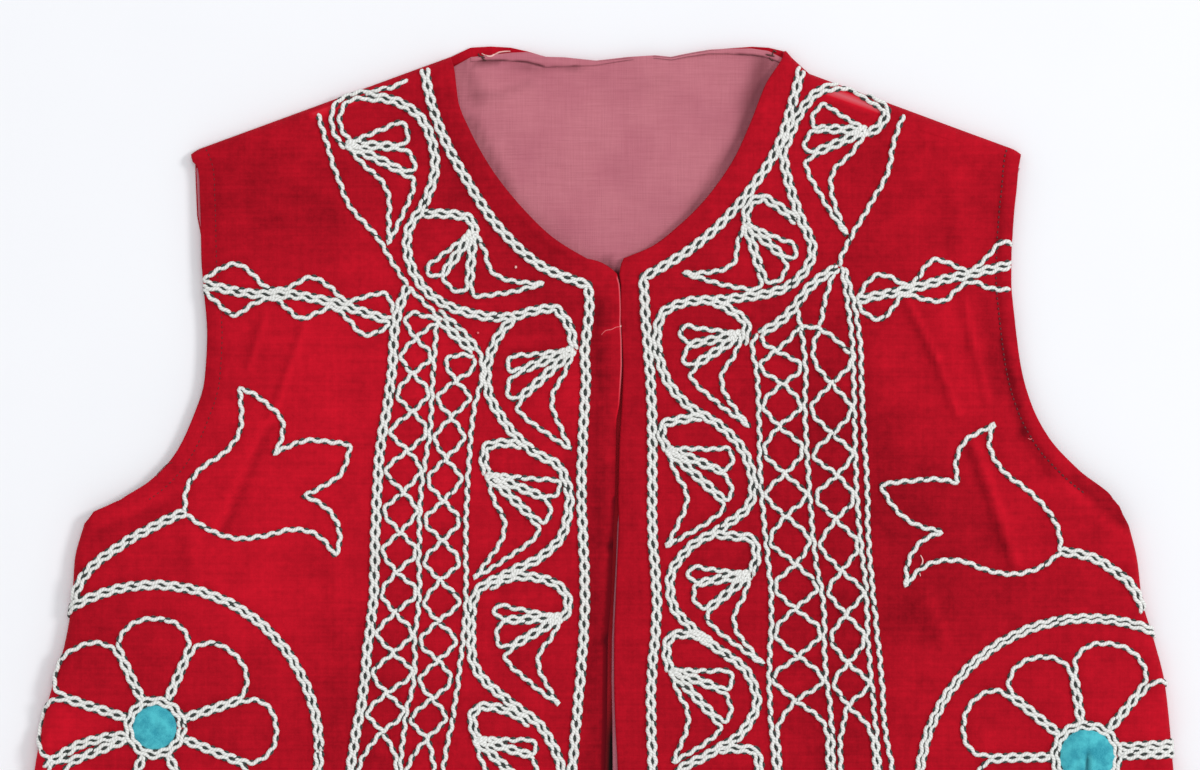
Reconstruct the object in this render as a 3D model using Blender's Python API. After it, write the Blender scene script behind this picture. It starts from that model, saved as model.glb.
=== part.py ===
"""Embroidered folk vest, laid flat on its back with the fronts up.

Sizes are in millimetres and are turned into metres as each mesh is made.
X runs across the vest, Y from the hem to the neck, Z up from the surface it lies on.
Each piece of cloth is a wall with an outer and an inner skin and a rim.
"""
from collections import namedtuple
from math import cos, exp, pi, radians, sin

import bmesh
import bpy
from mathutils import Vector

MM = 0.001
SEAM_GAP = 0.3

VELVET_WALL = 2.0
LINING_WALL = 1.0
HEM_STRIP_WALL = 1.2
APPLIQUE_EDGE = 0.9

BACK_TOP = VELVET_WALL
LINING_BOTTOM = BACK_TOP + SEAM_GAP
LINING_TOP = LINING_BOTTOM + LINING_WALL
FACING_BOTTOM = LINING_TOP + SEAM_GAP
FACING_TOP = FACING_BOTTOM + LINING_WALL
FRONT_EDGE_HEIGHT = FACING_TOP + SEAM_GAP + VELVET_WALL + 0.1

CROWN = 2.2
FOLD_STEPS = 6
ROLL_STEPS = 3
WRAP_COLUMNS = 3
FACING_WIDTH = 12.0
LINING_INSET = 1.0

# One row per section of a front: its centre-front or neck end, its side or armhole end, and
# the height of its outer skin there. Below the underarm that height is the side fold's.
Section = namedtuple("Section", "edge_x edge_y side_x side_y side_height")

RIGHT_FRONT = [
    Section(-3.0, -251.6, -270.0, -251.6, 9.0),
    Section(-2.8, -205.0, -269.2, -205.0, 9.4),
    Section(-2.5, -160.0, -267.5, -160.0, 9.8),
    Section(-2.2, -118.0, -264.2, -118.0, 10.0),
    Section(-1.8, -74.0, -258.3, -74.0, 10.0),
    Section(-1.4, -52.0, -254.3, -52.0, 10.0),
    Section(-1.2, -34.0, -249.6, -34.0, 9.8),
    Section(-0.9, -16.0, -244.4, -16.0, 9.4),
    Section(0.2, 3.0, -241.4, 3.0, 9.0),
    Section(1.8, 20.0, -240.3, 20.0, 8.6),
    Section(2.8, 37.0, -235.8, 37.0, 8.2),
    Section(3.3, 48.0, -219.5, 47.6, 7.7),
    Section(3.5, 60.0, -206.1, 56.3, 7.3),
    Section(3.8, 74.0, -195.5, 67.5, 7.0),
    Section(4.6, 90.0, -187.3, 84.0, 6.8),
    Section(5.2, 108.0, -181.8, 102.0, 6.6),
    Section(5.3, 128.0, -180.7, 122.0, 6.6),
    Section(3.4, 149.4, -182.3, 143.0, 6.6),
    Section(-10.4, 158.4, -183.3, 156.0, 6.6),
    Section(-24.3, 167.4, -183.5, 166.0, 6.6),
    Section(-42.3, 183.2, -183.7, 176.0, 6.6),
    Section(-53.1, 197.6, -184.0, 184.0, 6.6),
    Section(-62.1, 213.8, -184.8, 191.0, 6.6),
    Section(-67.1, 225.9, -185.7, 197.0, 6.6),
    Section(-71.0, 247.0, -186.6, 204.0, 6.6),
]
LEFT_FRONT = [
    Section(6.0, -251.6, 270.0, -251.6, 9.0),
    Section(5.6, -205.0, 268.4, -205.0, 9.4),
    Section(5.0, -160.0, 265.6, -160.0, 9.8),
    Section(4.4, -118.0, 261.0, -118.0, 10.0),
    Section(3.6, -74.0, 254.7, -74.0, 10.0),
    Section(2.4, -52.0, 252.8, -52.0, 10.0),
    Section(2.0, -34.0, 249.0, -34.0, 9.8),
    Section(2.1, -16.0, 243.5, -16.0, 9.6),
    Section(2.9, 3.0, 240.5, 3.0, 9.3),
    Section(3.8, 20.0, 238.5, 20.0, 9.0),
    Section(4.4, 36.0, 234.6, 36.0, 8.6),
    Section(4.8, 48.0, 227.5, 47.8, 8.0),
    Section(5.0, 60.0, 212.0, 61.0, 7.4),
    Section(5.4, 74.0, 199.0, 75.0, 7.0),
    Section(6.0, 90.0, 191.0, 90.0, 6.8),
    Section(6.4, 108.0, 186.2, 107.0, 6.6),
    Section(6.5, 128.0, 183.4, 128.0, 6.6),
    Section(6.1, 150.8, 181.8, 146.0, 6.6),
    Section(19.8, 161.6, 181.9, 158.0, 6.6),
    Section(32.0, 171.0, 182.4, 167.0, 6.6),
    Section(44.1, 183.2, 183.2, 178.0, 6.6),
    Section(56.7, 201.2, 184.2, 187.0, 6.6),
    Section(63.9, 216.9, 184.7, 193.0, 6.6),
    Section(71.1, 234.9, 185.2, 199.0, 6.6),
    Section(80.0, 250.0, 186.6, 204.0, 6.6),
]
UNDERARM_ROW = 10
NECK_CORNER_ROW = 17
FRONT_COLUMNS = [0.0, 0.04, 0.09, 0.15] + [0.15 + 0.85 * k / 13 for k in range(1, 14)]

# The right shoulder line is straight; the left one stands up beside the neck.
SHOULDER_DROP = {"front_right": 0.0, "front_left": 7.0}
SHOULDER_DROP_START = 0.09

# How far each front goes round its side fold, to the seam on the underside.
RIGHT_WRAP = 22.0
LEFT_WRAP = 39.0

# The facing's edge beyond the velvet: the right one shows at the top, the left one at the hem.
FACING_PROUD = 0.6
FACING_SHY = -0.5
RIGHT_FACING_SHOWS_ABOVE = 45.0
LEFT_FACING_SHOWS_BELOW = 0.0

# Soft creases: from one end to the other, with a half-width and a height (a trough is negative).
Crease = namedtuple("Crease", "x0 y0 x1 y1 width height")
CREASES = {
    "front_right": [
        Crease(-131.0, 130.0, -145.0, 100.0, 9.0, -0.8),
        Crease(-147.0, 95.0, -178.0, 22.0, 11.0, -0.8),
        Crease(-150.0, -150.0, -175.0, -240.0, 16.0, -1.0),
        Crease(-80.0, -175.0, -90.0, -248.0, 16.0, 0.9),
    ],
    "front_left": [
        Crease(137.0, 132.0, 153.0, 94.0, 9.0, -0.8),
        Crease(169.0, 61.0, 185.0, 22.0, 10.0, -0.8),
        Crease(209.0, 54.0, 231.0, 37.0, 6.0, 1.0),
        Crease(140.0, -160.0, 160.0, -245.0, 16.0, -1.0),
    ],
}

# The back's armholes, from the underarm seams to the shoulder tips.
ArmholeRow = namedtuple("ArmholeRow", "y left_x right_x")
BACK_ARMHOLES = [
    ArmholeRow(44.0, -208.0, 190.5),
    ArmholeRow(56.0, -199.0, 187.5),
    ArmholeRow(70.0, -190.5, 184.5),
    ArmholeRow(88.0, -183.5, 182.0),
    ArmholeRow(110.0, -179.5, 181.0),
    ArmholeRow(135.0, -180.0, 181.0),
    ArmholeRow(160.0, -182.5, 181.6),
    ArmholeRow(176.0, -185.6, 182.6),
    ArmholeRow(190.0, -186.2, 184.0),
    ArmholeRow(204.0, -186.6, 186.6),
]
# The back neck edge, between the two shoulder lines.
NeckPoint = namedtuple("NeckPoint", "x y lining_inset")
BACK_NECK = [
    NeckPoint(-71.0, 247.0, 6.0),
    NeckPoint(-62.0, 250.6, 5.4),
    NeckPoint(-53.0, 251.5, 4.8),
    NeckPoint(-44.0, 251.0, 3.2),
    NeckPoint(-36.0, 249.4, 1.4),
    NeckPoint(-28.0, 246.9, 0.6),
    NeckPoint(-4.0, 245.7, 0.6),
    NeckPoint(19.0, 246.6, 0.6),
    NeckPoint(37.0, 248.4, 0.6),
    NeckPoint(55.0, 249.8, 0.6),
    NeckPoint(66.0, 251.0, 1.0),
    NeckPoint(73.0, 251.6, 3.0),
    NeckPoint(80.0, 250.0, 6.0),
]
SHOULDER_COLUMNS = 4
LEFT_SHOULDER_CORNER = (90.9, 239.4)
HEM_STRIP_DEPTH = 5.0

# The two flower centres: middle, radius, and how far the dome stands over the velvet.
FlowerCentre = namedtuple("FlowerCentre", "name front x y radius dome")
FLOWER_CENTRES = [
    FlowerCentre("flower_centre_right", "front_right", -203.9, -54.9, 9.9, 1.9),
    FlowerCentre("flower_centre_left", "front_left", 215.6, -68.0, 12.6, 2.8),
]
DISC_SPOKES = 24
DISC_RINGS = (0.3, 0.62, 0.86, 1.0)

COLOURS = {
    "velvet": (0.42, 0.01, 0.03),
    "lining": (0.45, 0.13, 0.18),
    "applique": (0.02, 0.36, 0.42),
}
ROUGHNESS = {"velvet": 0.8, "lining": 0.85, "applique": 0.75}


def clear_scene():
    for item in list(bpy.data.objects):
        bpy.data.objects.remove(item, do_unlink=True)


def cloth_material(name):
    material = bpy.data.materials.new(name)
    material.use_nodes = True
    shader = material.node_tree.nodes["Principled BSDF"]
    shader.inputs["Base Color"].default_value = (*COLOURS[name], 1.0)
    shader.inputs["Roughness"].default_value = ROUGHNESS[name]
    shader.inputs["Metallic"].default_value = 0.0
    return material


def crease_height(crease, x, y):
    """A soft ridge or trough along a line, fading out across it and past its ends."""
    along = Vector((crease.x1 - crease.x0, crease.y1 - crease.y0))
    point = Vector((x - crease.x0, y - crease.y0))
    share = point.dot(along) / along.length_squared
    nearest = min(max(share, 0.0), 1.0)
    distance = (point - along * nearest).length
    return crease.height * exp(-((distance / crease.width) ** 2))


def sheet_height(front, share, side_height, x, y):
    """Height of a front's outer skin, at a share of the way from its edge to its side."""
    rise = 4.0 * share * (1.0 - share)
    height = FRONT_EDGE_HEIGHT + (side_height - FRONT_EDGE_HEIGHT) * share + CROWN * rise
    return height + sum(crease_height(crease, x, y) * rise for crease in CREASES[front])


def wall_object(name, points, quads, normals, thickness, material):
    """A closed wall: the outer skin as given, the inner one behind it, and a rim."""
    mesh = bmesh.new()
    outer = [mesh.verts.new(point * MM) for point in points]
    for quad in quads:
        mesh.faces.new([outer[index] for index in quad])
    mesh.normal_update()
    rims = [edge for edge in mesh.edges if edge.is_boundary]
    inner = {}
    for index, vertex in enumerate(outer):
        normal = normals.get(index, vertex.normal)
        inner[vertex] = mesh.verts.new(vertex.co - normal * thickness * MM)
    rim_faces = []
    for edge in rims:
        face = edge.link_faces[0]
        corners = list(face.verts)
        start, end = edge.verts
        if corners[(corners.index(start) + 1) % len(corners)] != end:
            start, end = end, start
        rim_faces.append((end, start, inner[start], inner[end]))
    for face in list(mesh.faces):
        mesh.faces.new([inner[vertex] for vertex in reversed(face.verts)])
    for corners in rim_faces:
        mesh.faces.new(corners)
    data = bpy.data.meshes.new(name)
    mesh.to_mesh(data)
    mesh.free()
    data.materials.append(material)
    data.shade_smooth()
    data.set_sharp_from_angle(angle=radians(40.0))
    piece = bpy.data.objects.new(name, data)
    bpy.context.collection.objects.link(piece)
    return piece


def row_quads(rows, flip):
    """Quads between rows of indices; a row may be longer than the next one."""
    quads = []
    for low, high in zip(rows, rows[1:]):
        for column in range(min(len(low), len(high)) - 1):
            quad = (low[column], low[column + 1], high[column + 1], high[column])
            quads.append(tuple(reversed(quad)) if flip else quad)
    return quads


def shoulder_direction(sections):
    """Unit vector in the plane, square to the shoulder line and pointing past it."""
    top = sections[-1]
    line = Vector((top.side_x - top.edge_x, top.side_y - top.edge_y)).normalized()
    square = Vector((-line.y, line.x))
    return square if square.y > 0.0 else -square


def front_panel(name, sections, wrap, material):
    side = -1.0 if sections[0].side_x < 0.0 else 1.0
    points, normals, rows = [], {}, []
    out = shoulder_direction(sections)
    up = Vector((0.0, 0.0, 1.0))

    def add(point, normal=None):
        points.append(point)
        if normal:
            normals[len(points) - 1] = normal
        return len(points) - 1

    for number, section in enumerate(sections):
        folded = number <= UNDERARM_ROW
        last = number == len(sections) - 1
        radius = section.side_height / 2
        side_x = section.side_x - side * radius if folded else section.side_x
        row = []
        for share in FRONT_COLUMNS:
            x = section.edge_x + (side_x - section.edge_x) * share
            y = section.edge_y + (section.side_y - section.edge_y) * share
            if last and share > 0.0:
                y -= SHOULDER_DROP[name] * (1.0 - share) * min(share / SHOULDER_DROP_START, 1.0)
            height = sheet_height(name, share, section.side_height, x, y)
            if last:
                roll = height - BACK_TOP - SEAM_GAP
                x -= out.x * roll
                y -= out.y * roll
            row.append(add(Vector((x, y, height))))
        if folded:
            for step in range(1, FOLD_STEPS + 1):
                angle = pi * step / FOLD_STEPS
                x = side_x + side * radius * sin(angle)
                z = radius + radius * cos(angle)
                normal = Vector((side * sin(angle), 0.0, cos(angle)))
                row.append(add(Vector((x, section.side_y, z)), normal))
            for step in range(1, WRAP_COLUMNS + 1):
                x = side_x - side * (wrap - radius) * step / WRAP_COLUMNS
                row.append(add(Vector((x, section.side_y, 0.0)), -up))
        rows.append(row)

    flat_row = [points[index].copy() for index in rows[-1]]
    outward = Vector((out.x, out.y, 0.0))
    for step in range(1, ROLL_STEPS + 1):
        angle = pi / 2 * step / ROLL_STEPS
        row = []
        for start in flat_row:
            roll = start.z - BACK_TOP - SEAM_GAP
            place = start + outward * roll * sin(angle) - up * roll * (1.0 - cos(angle))
            row.append(add(place, outward * sin(angle) + up * cos(angle)))
        rows.append(row)
    return wall_object(name, points, row_quads(rows, side < 0.0), normals, VELVET_WALL, material)


def seam_x(section, wrap):
    side = -1.0 if section.side_x < 0.0 else 1.0
    return section.side_x - side * wrap


def back_top_edge():
    """The back's top edge from tip to tip, with the lining's inset at each point."""
    right_tip = BACK_ARMHOLES[-1]
    neck_start = BACK_NECK[0]
    edge = []
    for step in range(SHOULDER_COLUMNS):
        share = step / SHOULDER_COLUMNS
        x = right_tip.left_x + (neck_start.x - right_tip.left_x) * share
        y = right_tip.y + (neck_start.y - right_tip.y) * share
        edge.append(NeckPoint(x, y, 6.0))
    edge.extend(BACK_NECK)
    corner_x, corner_y = LEFT_SHOULDER_CORNER
    for step in range(SHOULDER_COLUMNS + 1):
        share = step / SHOULDER_COLUMNS
        x = corner_x + (right_tip.right_x - corner_x) * share
        y = corner_y + (right_tip.y - corner_y) * share
        edge.append(NeckPoint(x, y, 6.0))
    return edge


def back_rows(side_inset, use_lining_inset):
    """Rows of points over the back, from the hem to the shoulders and neck."""
    lines = []
    for right, left in list(zip(RIGHT_FRONT, LEFT_FRONT))[:UNDERARM_ROW + 1]:
        lines.append((seam_x(right, RIGHT_WRAP), seam_x(left, LEFT_WRAP), right.side_y, left.side_y))
    for armhole in BACK_ARMHOLES:
        lines.append((armhole.left_x, armhole.right_x, armhole.y, armhole.y))
    edge = back_top_edge()
    width = edge[-1].x - edge[0].x
    shares = [(point.x - edge[0].x) / width for point in edge]
    straight_y = edge[0].y
    rows = []
    shaped_from = UNDERARM_ROW + 1
    for number, (left_x, right_x, left_y, right_y) in enumerate(lines):
        level = max(0.0, (number - shaped_from) / (len(lines) - 1 - shaped_from)) ** 1.5
        row = []
        for share, point in zip(shares, edge):
            x = left_x + side_inset + (right_x - left_x - 2 * side_inset) * share
            y = left_y + (right_y - left_y) * share + (point.y - straight_y) * level
            if number == len(lines) - 1 and use_lining_inset:
                y -= point.lining_inset
            if number == 0:
                y += side_inset - SEAM_GAP
            row.append((x, y))
        rows.append(row)
    return rows


def flat_sheet(name, rows, top, thickness, material):
    points, index_rows = [], []
    for row in rows:
        start = len(points)
        points.extend(Vector((x, y, top)) for x, y in row)
        index_rows.append(list(range(start, len(points))))
    up = Vector((0.0, 0.0, 1.0))
    normals = {index: up for index in range(len(points))}
    return wall_object(name, points, row_quads(index_rows, False), normals, thickness, material)


def neck_hem_strip(material):
    """The lining's turned hem along the back neck, lying on the lining."""
    reach = [point for point in BACK_NECK if point.lining_inset < 4.9]
    rows = []
    for depth in (HEM_STRIP_DEPTH, 0.0):
        rows.append([(point.x, point.y - point.lining_inset - 0.2 - depth) for point in reach])
    top = LINING_TOP + SEAM_GAP + HEM_STRIP_WALL
    return flat_sheet("back_neck_hem", rows, top, HEM_STRIP_WALL, material)


def facing(name, sections, shows, material):
    """A front's lining where it shows, along its centre-front edge."""
    side = -1.0 if sections[0].side_x < 0.0 else 1.0
    rows = []
    for section in sections[:NECK_CORNER_ROW]:
        proud = FACING_PROUD if shows(section.edge_y) else FACING_SHY
        edge = section.edge_x - side * proud
        ends = sorted((edge, section.edge_x + side * FACING_WIDTH))
        rows.append([(x, section.edge_y) for x in ends])
    return flat_sheet(name, rows, FACING_TOP, LINING_WALL, material)


def section_at(sections, y):
    """The section of a front at a level between two rows below the underarm."""
    for low, high in zip(sections, sections[1:]):
        if low.edge_y <= y <= high.edge_y:
            share = (y - low.edge_y) / (high.edge_y - low.edge_y)
            return Section(*(a + (b - a) * share for a, b in zip(low, high)))
    raise ValueError(y)


def flower_centre(spec, sections, material):
    """A domed disc of cloth, made from the velvet's heights and moved out."""
    side = -1.0 if spec.x < 0.0 else 1.0

    def velvet_height(x, y):
        section = section_at(sections, y)
        side_x = section.side_x - side * section.side_height / 2
        share = (x - section.edge_x) / (side_x - section.edge_x)
        return sheet_height(spec.front, share, section.side_height, x, y)

    rings = []
    for ring in DISC_RINGS:
        places = []
        for spoke in range(DISC_SPOKES):
            angle = 2 * pi * spoke / DISC_SPOKES
            x = spec.x + spec.radius * ring * cos(angle)
            y = spec.y + spec.radius * ring * sin(angle)
            dome = APPLIQUE_EDGE + (spec.dome - APPLIQUE_EDGE) * (1.0 - ring ** 2.4)
            bottom = velvet_height(x, y) + SEAM_GAP + 0.05
            places.append((x, y, bottom, bottom + dome))
        rings.append(places)

    mesh = bmesh.new()
    centre = velvet_height(spec.x, spec.y) + SEAM_GAP + 0.05
    low_centre = mesh.verts.new(Vector((spec.x, spec.y, centre)) * MM)
    high_centre = mesh.verts.new(Vector((spec.x, spec.y, centre + spec.dome)) * MM)
    low = [[mesh.verts.new(Vector((x, y, z)) * MM) for x, y, z, _ in ring] for ring in rings]
    high = [[mesh.verts.new(Vector((x, y, z)) * MM) for x, y, _, z in ring] for ring in rings]
    for spoke in range(DISC_SPOKES):
        after = (spoke + 1) % DISC_SPOKES
        mesh.faces.new((high_centre, high[0][spoke], high[0][after]))
        mesh.faces.new((low_centre, low[0][after], low[0][spoke]))
        for inside, outside in zip(high, high[1:]):
            mesh.faces.new((inside[spoke], outside[spoke], outside[after], inside[after]))
        for inside, outside in zip(low, low[1:]):
            mesh.faces.new((inside[after], outside[after], outside[spoke], inside[spoke]))
        mesh.faces.new((high[-1][spoke], low[-1][spoke], low[-1][after], high[-1][after]))
    data = bpy.data.meshes.new(spec.name)
    mesh.to_mesh(data)
    mesh.free()
    data.materials.append(material)
    data.shade_smooth()
    data.set_sharp_from_angle(angle=radians(50.0))
    disc = bpy.data.objects.new(spec.name, data)
    bpy.context.collection.objects.link(disc)
    return disc


def build_vest():
    clear_scene()
    velvet = cloth_material("velvet")
    lining = cloth_material("lining")
    applique = cloth_material("applique")

    flat_sheet("back_panel", back_rows(SEAM_GAP, False), BACK_TOP, VELVET_WALL, velvet)
    flat_sheet("back_lining", back_rows(LINING_INSET, True), LINING_TOP, LINING_WALL, lining)
    neck_hem_strip(lining)
    facing("facing_right", RIGHT_FRONT, lambda y: y > RIGHT_FACING_SHOWS_ABOVE, lining)
    facing("facing_left", LEFT_FRONT, lambda y: y < LEFT_FACING_SHOWS_BELOW, lining)
    front_panel("front_right", RIGHT_FRONT, RIGHT_WRAP, velvet)
    front_panel("front_left", LEFT_FRONT, LEFT_WRAP, velvet)
    for spec in FLOWER_CENTRES:
        sections = RIGHT_FRONT if spec.front == "front_right" else LEFT_FRONT
        flower_centre(spec, sections, applique)


build_vest()
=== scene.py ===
"""Embroidered folk vest: the velvet, lining and couched cords round the CAD frame.

Sizes are in millimetres and are turned into metres as each mesh is made.
X runs across the vest, Y from the hem to the neck, Z up from the surface it lies on.
Right and left are the wearer's, so front_right is the front with negative X.
"""
from collections import namedtuple
from math import cos, pi, radians, sin

import bpy
import numpy as np
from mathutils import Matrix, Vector
from mathutils.bvhtree import BVHTree
from mathutils.kdtree import KDTree


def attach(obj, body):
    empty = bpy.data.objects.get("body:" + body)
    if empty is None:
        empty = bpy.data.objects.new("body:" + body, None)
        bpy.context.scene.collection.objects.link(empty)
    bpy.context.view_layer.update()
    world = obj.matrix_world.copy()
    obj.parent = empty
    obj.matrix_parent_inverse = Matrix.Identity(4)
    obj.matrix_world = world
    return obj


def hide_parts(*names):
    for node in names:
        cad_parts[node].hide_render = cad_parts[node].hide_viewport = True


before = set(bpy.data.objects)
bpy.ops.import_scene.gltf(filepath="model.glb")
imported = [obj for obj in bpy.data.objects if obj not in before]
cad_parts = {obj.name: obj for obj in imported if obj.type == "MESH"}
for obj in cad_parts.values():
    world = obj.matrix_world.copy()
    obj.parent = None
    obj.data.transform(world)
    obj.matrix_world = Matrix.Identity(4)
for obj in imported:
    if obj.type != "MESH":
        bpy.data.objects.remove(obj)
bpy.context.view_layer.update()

MM = 0.001
SEAM_GAP = 0.3
VELVET_WALL = 2.0
LINING_WALL = 1.0
HEM_STRIP_WALL = 1.2
BACK_TOP = VELVET_WALL
LINING_TOP = BACK_TOP + SEAM_GAP + LINING_WALL
STRIP_TOP = LINING_TOP + SEAM_GAP + HEM_STRIP_WALL
FACING_TOP = LINING_TOP + SEAM_GAP + LINING_WALL
EDGE_EASE = 0.1
FRONT_EDGE_HEIGHT = FACING_TOP + SEAM_GAP + VELVET_WALL + EDGE_EASE
CROWN = 2.2
FACING_WIDTH = 12.0
LINING_INSET = 1.0
STRIP_INSET = 0.2
UNDERARM_ROW = 10
UNDERARM_LIFT_BELOW = 18.0
UNDERARM_LIFT_WIDTH = 15.0
NECK_CORNER_ROW = 17
SHOULDER_DROP_START = 0.09
TIP_ROUND = 1.3
TIP_ROUND_WIDTH = 5.0
NECK_LIFT = 3.0
NECK_LIFT_WIDTH = 11.0
# A painted highlight runs along a front's centre-front edge up to the neck corner. It starts at the first
# height and fades in over the second.
EDGE_HIGHLIGHT_FROM = 78.0
EDGE_HIGHLIGHT_FADE = 25.0


def rows(kind, *values):
    """A table: each row of values as one named tuple."""
    return [kind(*row) for row in values]


# One row per section of a front: its centre-front or neck end, its side or armhole end, and
# the height of its outer skin there. Below the underarm that height is the side fold's.
Section = namedtuple("Section", "edge_x edge_y side_x side_y side_height")
RIGHT_SECTIONS = rows(
    Section,
    (-3, -251.6, -270, -251.6, 9), (-2.8, -205, -269.2, -205, 9.4), (-2.5, -160, -267.5, -160, 9.8),
    (-2.2, -118, -264.2, -118, 10), (-1.8, -74, -258.3, -74, 10), (-1.4, -52, -254.3, -52, 10),
    (-1.2, -34, -249.6, -34, 9.8), (-0.9, -16, -244.4, -16, 9.4), (0.2, 3, -241.4, 3, 9),
    (1.8, 20, -240.3, 20, 8.6), (2.8, 37, -235.8, 37, 8.2), (3.3, 48, -219.5, 47.6, 7.7),
    (3.5, 60, -206.1, 56.3, 7.3), (3.8, 74, -195.5, 67.5, 7), (4.6, 90, -187.3, 84, 6.8),
    (5.2, 108, -181.8, 102, 6.6), (5.3, 128, -180.7, 122, 6.6), (3.4, 149.4, -182.3, 143, 6.6),
    (-9.2, 156, -183.3, 156, 6.6), (-24.3, 165.2, -183.5, 166, 6.6), (-42.3, 183.2, -183.7, 176, 6.6),
    (-53.1, 197.6, -184, 184, 6.6), (-62.1, 213.8, -184.2, 191, 6.6), (-67.1, 225.9, -185, 197, 6.6),
    (-71, 247, -188.4, 204, 6.6),
)
LEFT_SECTIONS = rows(
    Section,
    (6, -251.6, 270, -251.6, 9), (5.6, -205, 268.4, -205, 9.4), (5, -160, 265.6, -160, 9.8),
    (4.4, -118, 261, -118, 10), (3.6, -74, 254.7, -74, 10), (2.4, -52, 252.8, -52, 10),
    (2, -34, 250.6, -34, 9.8), (2.1, -16, 246, -16, 9.6), (2.9, 3, 240.5, 3, 9.3), (3.8, 20, 238.5, 20, 9),
    (4.4, 36, 234.6, 36, 8.6), (4.8, 48, 227.5, 47.8, 8), (5, 60, 212, 61, 7.4), (5.4, 74, 199, 75, 7),
    (6, 90, 191, 90, 6.8), (6.4, 108, 186.2, 107, 6.6), (6.5, 128, 183.4, 128, 6.6),
    (6.9, 156.2, 181.8, 146, 6.6), (19.8, 161.6, 181.9, 158, 6.6), (32, 171, 182.4, 167, 6.6),
    (44.1, 183.2, 183.2, 178, 6.6), (56.7, 201.2, 184.2, 187, 6.6), (63.9, 216.9, 184.7, 193, 6.6),
    (71.1, 234.9, 185.2, 199, 6.6), (80, 250, 186.6, 204, 6.6),
)
# How far the fronts' edges move over from the table at a height, where they wander to and fro.
Wander = namedtuple("Wander", "y right left")
EDGE_WANDER = rows(
    Wander,
    (-251.6, 0.5, 0), (-74, 0.8, 0.6), (-52, 1, 0.7), (-16, 1, 0.5), (3, 1.4, 0.4), (20, 0.3, 0.2),
    (37, -0.1, 0.3), (48, 0, -0.3), (74, 0, -0.3), (83, -0.4, 0), (90, 0.6, 0.2), (108, 1.2, 0.4),
    (119, 1, -0.1), (128, 0.5, -0.8), (144, 1.5, -1), (149.5, 0.6, -1.9), (154, 0, -0.9), (156, 0, 0),
)
# A soft crease from one end to the other, with a half-width and a height (a trough is negative).
Crease = namedtuple("Crease", "x0 y0 x1 y1 width height")
# Painted tone along a line, with a half-width: lighter (positive) or darker. On the velvet, some lines are
# the pile brushed lighter or darker. Others are painted shade, such as the dark roll down the centre-front
# edges, or painted highlight, such as the pale sheen on the shoulders. On the lining they are painted shade.
Nap = namedtuple("Nap", "x0 y0 x1 y1 width tone")
# A sharper fold: its height, and how much painted highlight lies on its side towards the wearer's left, with
# as much painted shade on the other side.
Fold = namedtuple("Fold", "x0 y0 x1 y1 width height lean")
Front = namedtuple(
    "Front", "name side sections wrap shoulder_drop edge_wear underarm_lift neck_bulge"
    " armhole_groove armhole_thread creases folds naps")
RIGHT = Front(
    name="front_right", side=-1.0, sections=RIGHT_SECTIONS, wrap=22.0, shoulder_drop=0.0, edge_wear=5.0,
    underarm_lift=5.0, neck_bulge=1.6, armhole_groove=-0.4, armhole_thread=0.17,
    creases=rows(
        Crease,
        (-132, 121.5, -145, 99, 9, -0.8), (-147, 95, -178, 22, 11, -0.8), (-150, -150, -175, -240, 16, -1),
        (-80, -175, -90, -248, 16, 0.9),
    ),
    folds=rows(
        Fold,
        (-153, 81.5, -173.5, 35.5, 3, 1.2, -3), (-137, 125.5, -152, 84, 1.9, 0.8, 2),
        (-155, 129, -162, 107.5, 1.9, 0.7, 1.7), (-170, 168, -150, 176, 4, 0.6, 0.5),
        (-142, 193, -118, 176, 5, -0.7, 0.8), (-188, 29, -185.5, 7, 3.2, 0.6, 1),
        (-224, 30, -214, 10.5, 4, -0.6, 0.6), (-191.5, 51, -230.5, 33, 3.6, 0.8, -1.6),
        (-125, 20, -115, -43, 5, 0.5, 0.8), (-66, 190, -44, 168, 4, 0.5, 0.6),
        (-20, 120, -12, 60.5, 6, 0.4, 0.8), (-7, 114, 1, 116.5, 2.2, -0.45, 0.8),
        (-8, 105, 2.5, 105.5, 2.2, 0.4, 0.8), (-7.5, 88, 0, 91.5, 2.4, -0.5, 0.8),
        (-8, 61, 2, 64, 2.4, 0.4, 0.8), (-8.5, 27, 1, 24, 2.6, -0.5, -0.8),
        (-10, -16, -1, -12.5, 2.6, 0.4, 0.6), (-27, 97, -16, 90.5, 2.4, 0.5, 0.7),
        (-46.5, 115, -28.5, 119, 2.6, 0.5, 0.7),
    ),
    # Painted tone: brushed-pile patches, painted shade down the centre-front edge and its slit and along the
    # armhole, and painted highlights such as the shoulder's sheen.
    naps=rows(
        Nap,
        (-129.5, 117, -155.5, 18, 42, 1), (-169, 191, -130.5, 180, 22, -0.9),
        (-75.5, 218, -21.5, 142, 22, -0.9), (-3.5, 137, -7, -83, 5.5, -1.6), (-80, 115, -80, 38, 18, 0.4),
        (-21.5, 94.5, -21.5, 74, 11, 0.6), (-109, -20, -116, -88, 17, -0.8), (-178, 137, -181, 92, 5, -0.4),
        (-244, -54, -250, -64.5, 13, 1.3), (-224, -20, -174.5, -38, 26, -0.3),
        (3.5, 79, 3.5, 47, 1.2, -1.3), (3, 47, 2, 27, 1.6, -2.3), (2, 27, 0, -16, 2, -3.1),
        (0, -16, -1.5, -88, 1.8, -3.8), (5, 125, -2.5, 122.5, 1.5, 1.8), (-133, 220.5, -101, 232, 1.4, 3.4),
    ),
)
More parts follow.
